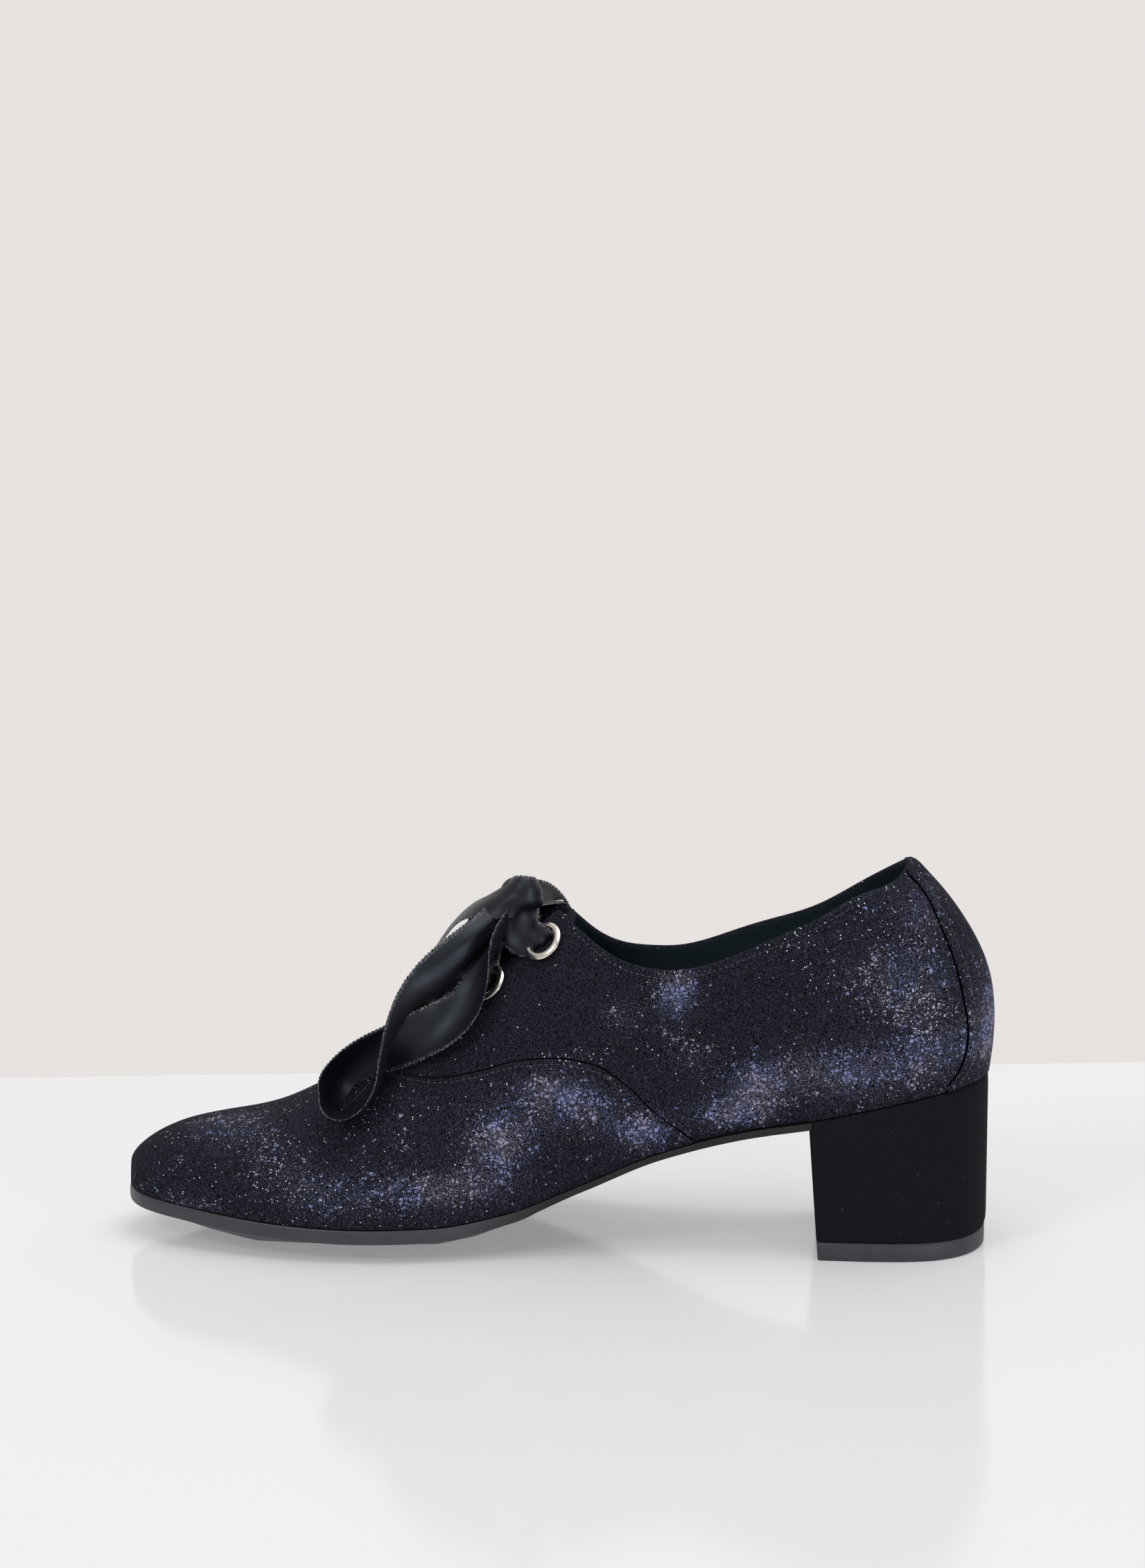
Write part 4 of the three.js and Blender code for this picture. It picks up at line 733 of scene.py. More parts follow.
FRONT_TAIL = np.array([
    (-1, 4.5, -3, 0.1, 0.9, 0.3, 0.5), (-4.5, 7, -3.6, 0, 0.95, 0.2, 0.65),
    (-8.6, 9.6, -4.8, -0.05, 0.97, 0.1, 0.85), (-12.7, 12.6, -7.2, 0, 0.97, -0.1, 0.97),
    (-14.8, 16.4, -11.4, 0.1, 0.95, -0.1, 1), (-15.4, 20.6, -16.8, 0.2, 0.93, -0.1, 1),
    (-15.2, 24.8, -22.7, 0.6, 0.75, 0, 1), (-14.6, 29, -29, 0.9, 0.4, 0, 1),
    (-13.6, 33, -36, 0.97, 0.2, 0, 1), (-13.8, 37, -43, 0.95, 0.3, 0, 1),
    (-14.6, 40.8, -50, 0.95, 0.3, 0, 1), (-15.6, 44.3, -57.4, 0.95, 0.3, 0, 1),
    (-16.8, 47, -64.9, 0.95, 0.3, 0, 1),
])
BACK_TAIL = np.array([
    (2.6, 2.5, -1.6, 0.2, -0.1, 0.97, 0.65), (4.6, 4.6, -2.6, 0.2, -0.1, 0.97, 0.78),
    (6.2, 7.4, -3.8, 0.35, -0.05, 0.93, 0.85), (7, 10.6, -5.8, 0.6, 0.1, 0.75, 0.9),
    (7.6, 14.2, -8.4, 0.85, 0.2, 0.4, 0.97), (8, 18.4, -11, 0.95, 0.2, 0.2, 1),
    (8.8, 22.5, -13.8, 0.98, 0.15, 0.1, 1), (9.8, 26.6, -16.8, 1, 0.1, 0, 1),
    (10.4, 30.4, -22.6, 1, 0, 0, 1), (11, 33.4, -29, 1, 0, 0, 1),
    (11, 36, -36, 1, 0, 0, 1), (11.2, 38.2, -43.4, 1, 0, 0, 1),
    (11.4, 39.8, -51, 1, 0, 0, 1), (11.8, 41, -59, 1, 0, 0, 1),
    (12.2, 41.9, -67, 1, 0, 0, 1),
])
KNOT_PLACE = 0.745
KNOT_SEAT = 7.35
KNOT_HIGH = 11.0
KNOT_NEAR = 1.4
knot_x = THROAT_START + (FACING_TOP - THROAT_START) * KNOT_PLACE
KNOT_AT = last_point(station_at(knot_x / LAST_LENGTH), 0.0) + [0, -KNOT_NEAR, KNOT_SEAT + KNOT_HIGH / 2]
print("knot at", KNOT_AT.round(2))

# %% A ribbon along a route


def soften(values, times=1):
    """Each row drawn halfway to the mean of its neighbours; the ends stay."""
    for _ in range(times):
        values = values.copy()
        values[1:-1] = 0.5 * values[1:-1] + 0.25 * (values[:-2] + values[2:])
    return values


def route_of(rows, step):
    """Splines through the rows over the length walked so far, at even steps. Returns the places,
    the unit directions ahead, across and out of the face, and the widths."""
    rows = soften(rows)
    walked = walked_along(rows[:, :3])
    count = int(round(walked[-1] / step)) + 1
    at = np.linspace(0, walked[-1], count)
    curves = [spline(walked, rows[:, k]) for k in range(7)]
    place = np.stack([curve(at) for curve in curves[:3]], -1)
    ahead = unit(np.gradient(place, axis=0))
    across = np.stack([curve(at) for curve in curves[3:6]], -1)
    across = unit(across - ahead * np.sum(across * ahead, -1, keepdims=True))
    return place, ahead, across, np.cross(ahead, across), np.clip(curves[6](at), 0.3, 1)


PLEATS = 2.5
PLEAT_SHARE = 0.25  # of the gathering that goes into pleats; the rest is one deep fold
PICOT_PITCH = 1.25
PICOT_REACH = 0.35
EDGE_THICKNESS = 0.45  # share of the ribbon's thickness
DRIFT_REACH, DRIFT_LENGTH = 0.35, 17.0  # the pleats wander along the ribbon; turns and mm


def ribbon_grid(rows, step=0.25, cup=0.5, fold=1.0, columns=17, phase=0.0):
    """A flat band with picot edges. Where it is gathered it bends into one trough, fold giving the
    side it bends to: depth = width * sqrt(3/8 (full / width - 1)), with shallow pleats in it."""
    place, _, across, face, wide = route_of(rows, step)
    n = len(place)
    u = np.linspace(-1, 1, columns)
    ring_u = np.concatenate([u, u[::-1]])
    ring_side = np.concatenate([np.ones(columns), -np.ones(columns)])
    half = RIBBON_WIDTH * wide / 2
    gather = np.sqrt(np.clip(1 / wide - 1, 0, None))
    trough = 2 * half * np.sqrt(3 / 8) * gather * (1 - PLEAT_SHARE)
    pleat = 2 * half / (np.pi * PLEATS) * gather * PLEAT_SHARE
    drift = phase + DRIFT_REACH * np.sin(np.arange(n) * step / DRIFT_LENGTH)
    edge = np.abs(ring_u)[None, :] > 0.999
    mm = np.arange(n)[:, None] * step
    picot = PICOT_REACH * np.abs(np.sin(np.pi * mm / PICOT_PITCH))**0.7 * edge
    reach = half[:, None] * ring_u[None, :] + np.sign(ring_u)[None, :] * picot
    bend = ring_u[None, :]**2 - 0.4
    rise = (cup * wide + fold * trough)[:, None] * bend
    rise = rise + pleat[:, None] * np.sin(np.pi * PLEATS * ring_u[None, :] + drift[:, None])
    thick = RIBBON_THICKNESS / 2 * np.where(edge, EDGE_THICKNESS, 1.0) * ring_side[None, :]
    grid = place[:, None] + across[:, None] * reach[..., None] + face[:, None] * (rise + thick)[..., None]
    marks = {"along": mm + 0 * reach, "across": ring_u[None, :] + 0 * reach,
             "selvedge": edge.astype(float) + 0 * reach}
    return grid, marks, place


def strip_ends(grid):
    """Two narrow grids that close a swept band at both ends."""
    half = grid.shape[1] // 2
    return [(np.stack([grid[k, :half], grid[k, half:][::-1]]), False, False, 0) for k in (0, -1)]


def add_ribbon(name, rows, finish, **shape):
    """A closed ribbon; returns the object, its centre line in mm and its length."""
    grid, marks, line = ribbon_grid(rows, **shape)
    ends = strip_ends(grid)
    values = {key: [value, *(end[0] for end in strip_ends(value))] for key, value in marks.items()}
    thing = make_mesh(name, [(grid, True, False, 0), *ends], [finish], values)
    length = float(walked_along(line)[-1])
    print(name, "length", round(length, 1), "mm")
    return thing, line, length


def placed(table):
    """A table's rows with their places moved from the knot's middle to the shoe."""
    rows = table.astype(float).copy()
    rows[:, :3] += KNOT_AT
    return rows


ribbons = {}
BOW = (  # name, route, side it folds to, and cup in mm
    ("bow_loop_near", NEAR_LOOP, 1.0, 2.0),
    ("bow_loop_far", FAR_LOOP, 1.0, 0.4),
    ("bow_tail_front", FRONT_TAIL, 1.0, 0.5),
    ("bow_tail_back", BACK_TAIL, -1.0, -0.8),
)
for name, table, fold, cup in BOW:
    ribbons[name] = add_ribbon("satin_" + name, placed(table), satin, fold=fold, cup=cup)

# %% [markdown]
# The upper is one shell of leather and lining. It could be the solid with a smoothing modifier, but
# its cut edges would stay sharp and faceted. Here each side of the shell is a grid: from the bottom
# edge up the outside, round a rolled edge at the collar or the facing, and down the lining. The
# upper end of each column is found by halving steps, where the surface meets the collar line or
# the throat.

# %% Where the shell ends
throat_y = float(last_point(station_at(THROAT_START / LAST_LENGTH), 0.0)[1])
near_line = spline(TOPLINE[:, 0], TOPLINE[:, 1])
far_line = spline(TOPLINE[:, 0], TOPLINE[:, 2])


def collar_height(x, side):
    """Bottom edge's height at that x plus the table's share of the back height."""
    along = x / LAST_LENGTH
    share = np.where(side < 0, near_line(along), far_line(along))
    return seat_height(station_at(along), side) + BACK_HEIGHT * share


def above_collar(s, t, side):
    """How far a point is above the collar line, in mm."""
    point = last_point(s, t, side)
    over = point[..., 2] - collar_height(point[..., 0], side)
    return np.where(point[..., 0] > 0.44 * LAST_LENGTH, over, -50.0)


def into_throat(s, t, side):
    """How far a point is inside the slot between the facings, in mm; the slot's front end is round."""
    point = last_point(s, t, side)
    radius = THROAT_GAP / 2
    ahead = point[..., 0] - THROAT_START
    half = np.sqrt(np.clip(radius**2 - np.clip(radius - ahead, 0, None)**2, 0, None))
    inside = (ahead > 0) & (point[..., 0] < 0.65 * LAST_LENGTH)
    return np.where(inside, half, -50.0) - np.abs(point[..., 1] - throat_y)


def edge_of(cut, s, side, steps=34):
    """The |t| where cut changes sign between the bottom (1) and the crest (0), by halving."""
    low, high = np.zeros_like(s), np.ones_like(s)
    crossed = cut(s, side * low, side) > 0
    for _ in range(steps):
        middle = (low + high) / 2
        inside = cut(s, side * middle, side) > 0
        low = np.where(inside, middle, low)
        high = np.where(inside, high, middle)
    return np.where(crossed, (low + high) / 2, 0.0)


def soft_max(a, b, reach):
    """The larger of two, with the corner between them rounded over reach."""
    blend = np.clip(0.5 + 0.5 * (a - b) / reach, 0, 1)
    return b + (a - b) * blend + reach * blend * (1 - blend) * 0.5


def shell_top(s, side):
    """|t| of the shell's upper end: the collar or the throat, whichever comes first."""
    collar = edge_of(above_collar, s, side)
    throat = edge_of(into_throat, s, side)
    return np.where(collar > 0.01, soft_max(collar, throat, 0.06), throat)


print("edge at the middle of the collar, as |t|:", shell_top(np.array([0.6]), -1.0).round(3))

# %% [markdown]
# Leather never lies perfectly even. A few soft troughs and swells, placed where the shoe bends or
# is pulled by the lacing, keep the light from sliding over it like over plastic.

# %% Soft unevenness
SWELL_BREADTH = 14.0
SWELLS = np.array([  # x, y, z, reach along the foot, reach up, height, in mm
    (40, -20, 26, 16, 8, 0.35), (62, -26, 34, 9, 14, -0.45), (74, -28, 40, 7, 12, 0.35),
    (92, -30, 44, 10, 10, -0.4), (120, -26, 52, 18, 12, 0.4), (150, -24, 62, 14, 12, -0.45),
    (176, -26, 72, 12, 9, 0.45), (200, -26, 84, 12, 10, -0.35), (214, -24, 66, 14, 10, 0.4),
    (60, 38, 30, 12, 12, -0.4), (80, 34, 42, 10, 12, 0.4), (110, 30, 55, 16, 12, -0.4),
    (150, 28, 62, 14, 14, 0.4), (190, 26, 74, 14, 12, -0.4), (104, -16, 68, 6, 8, -0.35),
    (112, 14, 72, 7, 8, -0.35), (134, -22, 70, 8, 8, 0.3), (52, 10, 40, 12, 6, 0.3),
])


def unevenness(points):
    """Sum of gaussian swells around listed centres."""
    height = np.zeros(points.shape[:-1])
    for x, y, z, along, up, rise in SWELLS:
        far = ((points[..., 0] - x) / along)**2 + ((points[..., 2] - z) / up)**2
        side = np.exp(-((points[..., 1] - y) / SWELL_BREADTH)**2)
        height += rise * np.exp(-far) * side
    return height


print("swells and troughs:", len(SWELLS))

# %% Grids of the shell and of what lies on it


def mm_for_t(s, t, side):
    """How many mm one whole t is at that place, up or down the leather, from a step of 0.02."""
    low = np.clip(t, 0.02, 0.96)
    step = last_point(s, side * low, side) - last_point(s, side * (low + 0.02), side)
    return np.linalg.norm(step, axis=-1) / 0.02


def wall_grid(s, t_top, side, outer, inner, columns, roll_steps=6, start=1.0):
    """One side of a rolled-edge wall: columns up the outside at offset outer, half a circle round
    the edge, and down the inside at offset inner. t_top is |t| of the edge for each station."""
    s = s[:, None]
    reach = mm_for_t(s, t_top[:, None], side)
    radius = (outer - inner) / 2
    room = np.clip((start - t_top[:, None]) * reach / 2, 0, radius)
    fade = np.where(t_top[:, None] <= 1e-6, 0, np.minimum(smooth(0, 3, into_room(s, t_top, side)), 1))
    radius_here = np.minimum(room, radius) * fade
    base = t_top[:, None] + radius_here / reach
    out_t = np.maximum(np.linspace(start, 0, columns)[None, :], base)
    angle = np.linspace(0, np.pi, roll_steps + 2)[None, 1:-1]
    roll_t = base - np.sin(angle) * radius_here / reach
    roll_off = (outer + inner) / 2 + np.cos(angle) * radius + 0 * base
    in_t = out_t[:, ::-1]
    t = side * np.concatenate([out_t, roll_t, in_t], 1)
    offset = np.concatenate([np.full_like(out_t, outer), roll_off, np.full_like(in_t, inner)], 1)
    bump = unevenness(last_point(s, t, side))
    return shell_side_point(s, t, side, offset + bump)


def into_room(s, t_top, side):
    """How far the edge lies from the crest, in mm, where the wall starts to be open."""
    edge = last_point(s, side * t_top[:, None], side)
    crest = last_point(s, side * 0.0, side)
    return np.linalg.norm(edge - crest, axis=-1)


def shell_side_point(s, t, side, outset):
    """As shell_point, on the side named; on the crest the two sides' normals are averaged."""
    on_crest = np.abs(t) < 1e-5
    normal = last_normal(s, np.where(on_crest, side * 1e-9, t))
    across = last_normal(s, np.where(on_crest, -side * 1e-9, t))
    normal = np.where(on_crest[..., None], unit(normal + across), normal)
    return last_point(s, t, side) + normal * outset[..., None]


def stations(low, high, count, dense=()):
    """Even steps along the shoe, with extra ones around the given x."""
    x = np.linspace(low, high, count)
    extra = [np.linspace(c - w, c + w, k) for c, w, k in dense]
    x = np.unique(np.clip(np.concatenate([x, *extra]), low, high).round(4))
    return station_at(x / LAST_LENGTH)


TOE_STATIONS = (1.2, 1.2, 14)
HEEL_STATIONS = (LAST_LENGTH - 1.2, 1.2, 14)
THROAT_STATIONS = (THROAT_START + 2, 2.2, 30)
FACING_STATIONS = (FACING_TOP + 4, 6, 20)
WALL_COLUMNS = 56
ROLL_STEPS = 6
shell_s = stations(0, LAST_LENGTH, 250, [THROAT_STATIONS, FACING_STATIONS, TOE_STATIONS, HEEL_STATIONS])

grids = []
for side in (-1.0, 1.0):
    top = shell_top(shell_s, side)
    top[-1] = top[-2]
    grid = wall_grid(shell_s, top, side, 0.0, -WALL, WALL_COLUMNS, ROLL_STEPS)
    slots = np.ones((len(shell_s) - 1, grid.shape[1]), int)
    slots[:, :WALL_COLUMNS + ROLL_STEPS - 1] = 0
    grids.append((grid, True, False, slots))
upper_shell = make_mesh("upper_shell", grids, [suede, lining], with_patches(grids))


# %% [markdown]
# The vamp covers the front of the shoe. Its back edge is folded and lies over the quarters. It could
# be a pattern in the shell's colour, but its edge catches the light, so it is a thin piece of its
# own. Its inner face lies inside the shell, and only its outer face and its rolled edge are seen.

# %% Vamp
SUNK = -0.4  # mm, the inner face of the vamp and of the back strip


def behind_vamp(s, t, side):
    """How far a point lies above the vamp's back edge, in mm, seen from the side."""
    point = last_point(s, t, side)
    along = point[..., 0] / LAST_LENGTH
    over = point[..., 2] - INSTEP_HEIGHT * vamp_edge(along)
    return np.where(along > VAMP_EDGE[0, 0], over, -50.0)


def overlay_grid(s, t_top, side, columns):
    """As wall_grid, for a piece that lies on the shell; it closes to a point at its last station."""
    grid = wall_grid(s, t_top, side, OVERLAY, SUNK, columns, 5)
    done = t_top >= 0.9995
    flat = np.ones((done.sum(), grid.shape[1]))
    grid[done] = shell_side_point(s[done][:, None], side * flat, side, SUNK * flat)
    return grid


grids = []
EDGE_STATIONS = (73.2, 1.6, 24)  # where the edge turns down from the throat
VAMP_REACH = 0.69  # share of LAST_LENGTH
vamp_s = stations(0, VAMP_REACH * LAST_LENGTH, 190, [EDGE_STATIONS, TOE_STATIONS])
for side in (-1.0, 1.0):
    edge = edge_of(behind_vamp, vamp_s, side)
    below = behind_vamp(vamp_s, np.full_like(vamp_s, side), side) > 0
    edge = np.where(below, 1.0, edge)
    grids.append((overlay_grid(vamp_s, edge, side, 50), True, False, 0))
vamp = make_mesh("vamp", grids, [suede], with_patches(grids))

# %% [markdown]
# The back strip covers the seam at the heel. It is a patch of the last that goes round the back, so
# its rows run by height and its columns from the near front edge to the far one. Its front edges
# and its top are rolled down into the shell.

# %% Back strip
COLLAR_SHOWS = 0.8  # mm of shell left free above the strip
STRIP_BACKING = 0.6  # mm between the strip's face and its hidden inner face


def strip_s(z):
    """Station of the strip's front edge at a height."""
    x = LAST_LENGTH * strip_front((z - HEEL_SEAT) / BACK_HEIGHT)
    s = station_at(np.minimum(x / LAST_LENGTH, 0.999))
    for _ in range(12):
        s = station_at(np.clip((x + LAST_LENGTH * along_at(s) - station_x(s, z)) / LAST_LENGTH, 0, 1))
    return s


def t_at_height(s, z, side):
    """|t| where the last's side has the height z, by halving."""
    low, high = np.zeros_like(s), np.ones_like(s)
    for _ in range(30):
        middle = (low + high) / 2
        above = last_point(s, side * middle, side)[..., 2] > z
        low = np.where(above, middle, low)
        high = np.where(above, high, middle)
    return (low + high) / 2


def under_collar(s, z, side):
    """The height kept between the bottom edge and the part of the collar that shows."""
    top = collar_height(station_x(s, z), side) - COLLAR_SHOWS
    return np.minimum(np.maximum(z, seat_height(s, side) + 0.01), top)


def strip_grid(rows=90, columns=26, roll=5):
    """Rows by height; columns from the near edge round the back to the far edge, then inside."""
    top = HEEL_SEAT + STRIP_TOP * BACK_HEIGHT
    z = np.linspace(0, 1, rows)[:, None]
    out = []
    for side in (-1.0, 1.0):
        base = seat_height(strip_s(np.full((1, 1), HEEL_SEAT - 1.0)), side)
        height = base + (top - base) * z
        front = strip_s(height)
        share = np.linspace(0, 1, columns)[None, :]
        s = 1 + (front - 1) * share**0.8
        heights = under_collar(s, height + 0 * s, side)
        t = t_at_height(s, heights, side)
        angle = np.linspace(0, np.pi / 2, roll)[None, :]
        edge_s = s[:, -1:] - np.sin(angle) * OVERLAY * 0.55 / LAST_LENGTH * 2.4
        edge_height = under_collar(edge_s, height + 0 * edge_s, side)
        roll_t = t_at_height(np.clip(edge_s, 0, 1), edge_height, side)
        all_s = np.concatenate([s, edge_s[:, 1:]], 1)
        all_t = side * np.concatenate([t, roll_t[:, 1:]], 1)
        rolled = np.broadcast_to(SUNK + (OVERLAY - SUNK) * np.cos(angle), (rows, roll))
        offset = np.concatenate([np.full_like(s, OVERLAY), rolled[:, 1:]], 1)
        end = np.clip((1 - z) * (rows - 1) / 3, 0, 1)
        offset = SUNK + (offset - SUNK) * np.sin(end * np.pi / 2)
        offset = offset + unevenness(last_point(all_s, all_t, side))
        out.append(shell_side_point(all_s, all_t, side, offset))
    return np.concatenate([out[0][:, ::-1], out[1][:, 1:]], 1)


outer = strip_grid()
grid = np.concatenate([outer, outer[:, ::-1] - [STRIP_BACKING, 0, 0]], 1)
grids = [(grid, True, False, 0), *strip_ends(grid)]
strip = make_mesh("back_strip", grids, [suede], with_patches(grids))

# %% [markdown]
# Rows of stitches hold the folded edges: one along the vamp's edge, one under the collar on each
# side and one beside the back strip. Each stitch is a small spindle of thread laid on the leather.

# %% Stitches
STITCH_PITCH = 1.7
STITCH_LENGTH = 1.25
STITCH_RADIUS = 0.2


def stitch_row(s, t, side, height):
    """Spindles at even steps along the line of (s, t) places, height mm off the last."""
    line = shell_side_point(s, t, side, np.full_like(s, height) + unevenness(last_point(s, t, side)))
    walked = walked_along(line)
    at = np.arange(STITCH_PITCH, walked[-1] - STITCH_PITCH, STITCH_PITCH)
    place = at_lengths(at, walked, line)
    ahead = unit(at_lengths(at, walked, np.gradient(line, axis=0)))
    out = last_normal(np.interp(at, walked, s), np.interp(at, walked, t))
    beside = np.cross(ahead, out)
    u = np.linspace(-1, 1, 7)[None, :, None, None]
    angle = np.linspace(0, 2 * np.pi, 8, endpoint=False)[None, None, :, None]
    girth = STITCH_RADIUS * np.sqrt(1 - u**2 * 0.999)
    return (place[:, None, None] + ahead[:, None, None] * u * STITCH_LENGTH / 2
            + (out[:, None, None] * np.cos(angle) + beside[:, None, None] * np.sin(angle)) * girth)


def below_edge(s, edge, side, mm):
    """|t| of the places mm under the edge, along the leather."""
    return edge + mm / mm_for_t(s, edge, side)


def seam_shadow_line(s, t, side, height, radius=0.3):
    """Painted shadow beside a folded edge: a thin round bead, black and without gloss."""
    line = shell_side_point(s, t, side, np.full_like(s, height) + unevenness(last_point(s, t, side)))
    ahead = unit(np.gradient(line, axis=0))
    out = last_normal(s, t)
    beside = unit(np.cross(ahead, out))
    angle = np.linspace(0, 2 * np.pi, 7, endpoint=False)[None, :, None]
    from_end = np.minimum(np.arange(len(s)), np.arange(len(s))[::-1])
    girth = radius * np.clip(from_end / 4, 0.05, 1)[:, None, None]
    return line[:, None] + (out[:, None] * np.cos(angle) + beside[:, None] * np.sin(angle)) * girth


ON_OVERLAY = OVERLAY + 0.08  # mm off the last
ON_SHELL = 0.08
STITCH_IN = 1.5  # mm from the vamp's edge
COLLAR_STITCH_IN = 2.4
STRIP_STITCH_IN = 0.012  # in s
STRIP_SEAM_OUT = 0.0052  # in s
VAMP_SEAM = (76.5, 162.0)  # x of its ends
rows = []
seam_shadow_lines = []
strip_z = np.linspace(HEEL_SEAT - 1, HEEL_SEAT + (STRIP_TOP - 0.03) * BACK_HEIGHT, 160)
for side in (-1.0, 1.0):
    s = stations(*VAMP_SEAM, 500)
    edge = edge_of(behind_vamp, s, side)
    ok = (edge > 0.01) & (behind_vamp(s, np.full_like(s, side), side) <= 0)
    s, edge = s[ok], edge[ok]
    # painted shadow: a black bead just outside the vamp's folded edge
    seam_shadow_lines.append(seam_shadow_line(s, side * below_edge(s, edge, side, -0.15), side, 0.1, 0.2))
    inside = np.minimum(below_edge(s, edge, side, STITCH_IN), 1)
    rows.append(stitch_row(s, side * inside, side, ON_OVERLAY))
    s = stations(FACING_TOP + 4, 0.905 * LAST_LENGTH, 500)
    edge = below_edge(s, shell_top(s, side), side, COLLAR_STITCH_IN)
    rows.append(stitch_row(s, side * edge, side, ON_SHELL))
    # painted shadow: a black bead just in front of the back strip's edge
    s = strip_s(strip_z) - STRIP_SEAM_OUT
    seam_shadow_lines.append(seam_shadow_line(s, side * t_at_height(s, strip_z, side), side, 0.1))
    s = strip_s(strip_z) + STRIP_STITCH_IN
    rows.append(stitch_row(s, side * t_at_height(s, strip_z, side), side, ON_OVERLAY))
spindles = np.concatenate(rows)
thread_shade = shade("stitching thread", (0.03, 0.03, 0.042), 0.5)
seam_shade = shade("seam shadow", (0.001, 0.001, 0.001), 1.0)
Finish(seam_shade).give(Specular_IOR_Level=0.0)
stitching = make_mesh("stitching", [(spindle, True, False, 0) for spindle in spindles], [thread_shade])
seams = make_mesh("seams", [(line, True, False, 0) for line in seam_shadow_lines], [seam_shade])

# %% [markdown]
# The sole is a thin moulded piece: its band stands a little outside the upper, rises with the waist
# and ends at the heel's breast. Its section is the same list of places as in the solid, drawn
# through with a smooth curve, so that the band's edges are softly rounded as on worn rubber.

# %% The foot's bed and the bottom edge
SEAT_GAP = 0.45
CLEARANCE = 0.3
SOLE_TUCK = 1.2  # mm of sole that reaches behind the heel's breast
SOLE_MARGIN = 1.0
BAND_FRONT = 4.6
BAND_WAIST = 2.3
WAIST_BLEND = 0.06
HEEL_LENGTH = 50.9
BREAST_SLANT = 2.8
TOP_PIECE = 5.4
TOP_PIECE_INSET = 0.4
INSOLE_THICKNESS = 3.0
BREAST = LAST_LENGTH - HEEL_LENGTH
TREAD = np.array([  # along, height, crown, as shares of FOREFOOT_HEIGHT
    (0, 0.98, 0), (0.057, 0.52, 0.4), (0.11, 0.19, 0.52), (0.18, -0.06, 0.54),
    (0.34, -0.06, 0.54), (0.4, 0.22, 0.42), (0.45, 0.62, 0.22),
])


def bed_height(x, y):
    """Ruled from the near to the far bottom edge, for any place in plan."""
    along = x / LAST_LENGTH
    for _ in range(3):
        lean = BACK_HEIGHT * BACK_CURVE[1, 1] * smooth(BACK_LEAN_FROM, 1, np.minimum(along, 1))
        along = (x + lean) / LAST_LENGTH
    s = station_at(np.clip(along, 0, 1))
    near, far = -BALL_WIDTH * last["near"](s), BALL_WIDTH * last["far"](s)
    share = np.where(far - near < 1, 0.5, np.clip((y - near) / np.maximum(far - near, 1e-6), 0, 1))
    return seat_height(s, -1) * (1 - share) + seat_height(s, 1) * share


print("bed at the ball and at the breast:", bed_height(np.array([90.0, BREAST]), 0.0).round(2))


def edge_point(s, side, margin=0.0):
    """The upper's bottom edge moved outwards by margin in plan."""
    s = np.asarray(s, float)

    def place(q):
        y = side * BALL_WIDTH * (last["near"](q) if side < 0 else last["far"](q))
        return station_x(q, seat_height(q, side)), y

    (x0, y0), (x1, y1) = place(np.maximum(s - 0.004, 0)), place(np.minimum(s + 0.004, 1))
    out = np.stack([(y0 - y1) * side, (x1 - x0) * side], -1)
    out = np.where((s <= 0)[..., None], [-1.0, 0.0], np.where((s >= 1)[..., None], [1.0, 0.0], out))
    out = unit(out) * np.asarray(margin, float)[..., None]
    x, y = place(s)
    x, y = x + out[..., 0], y + out[..., 1]
    return np.stack([x, y, bed_height(x, y)], -1)


# %% Outsole
tread_height = soft(TREAD[:, 0], TREAD[:, 1] * FOREFOOT_HEIGHT)
tread_crown = soft(TREAD[:, 0], TREAD[:, 2] * FOREFOOT_HEIGHT)


def sole_side(s, side):
    """The section's places, from the middle of the top round the band to the tread's middle."""
    along = along_at(s)
    thickness = BAND_FRONT + (BAND_WAIST - BAND_FRONT) * smooth(0.34, 0.54, along)
    waist = smooth(TREAD[-2, 0], TREAD[-1, 0] + WAIST_BLEND, along)
    tread = np.maximum(tread_height(along), 0)

    def edge(margin, drop):
        point = edge_point(s, side, np.full_like(s, margin))
        point[..., 2] -= drop + SEAT_GAP
        return point

    middle = (edge_point(s, -1) + edge_point(s, 1)) / 2
    rim = edge(SOLE_MARGIN * 0.2, thickness - SEAT_GAP)

    def under(share, rise):
        point = rim + (middle - rim) * share
        raised = bed_height(point[..., 0], point[..., 1]) - SEAT_GAP - thickness
        point[..., 2] = (tread + rise * tread_crown(along)) * (1 - waist) + raised * waist
        return point

    def on_bed(share):
        bed = edge_point(s, side)
        point = bed + (middle - bed) * share
        point[..., 2] = bed_height(point[..., 0], point[..., 1]) - SEAT_GAP
        return point

    band = ((0.1, 0.0), (0.7, 0.05 / thickness), (1.0, 0.2), (1.05, 0.5), (0.8, 0.85))
    places = [on_bed(1.0), on_bed(0.6)]
    places += [edge(SOLE_MARGIN * out, thickness * down) for out, down in band]
    places += [rim, under(0.2, 0.64), under(0.36, 0.3), under(0.55, 0.0), under(1.0, 0.0)]
    return np.stack(places, 1)


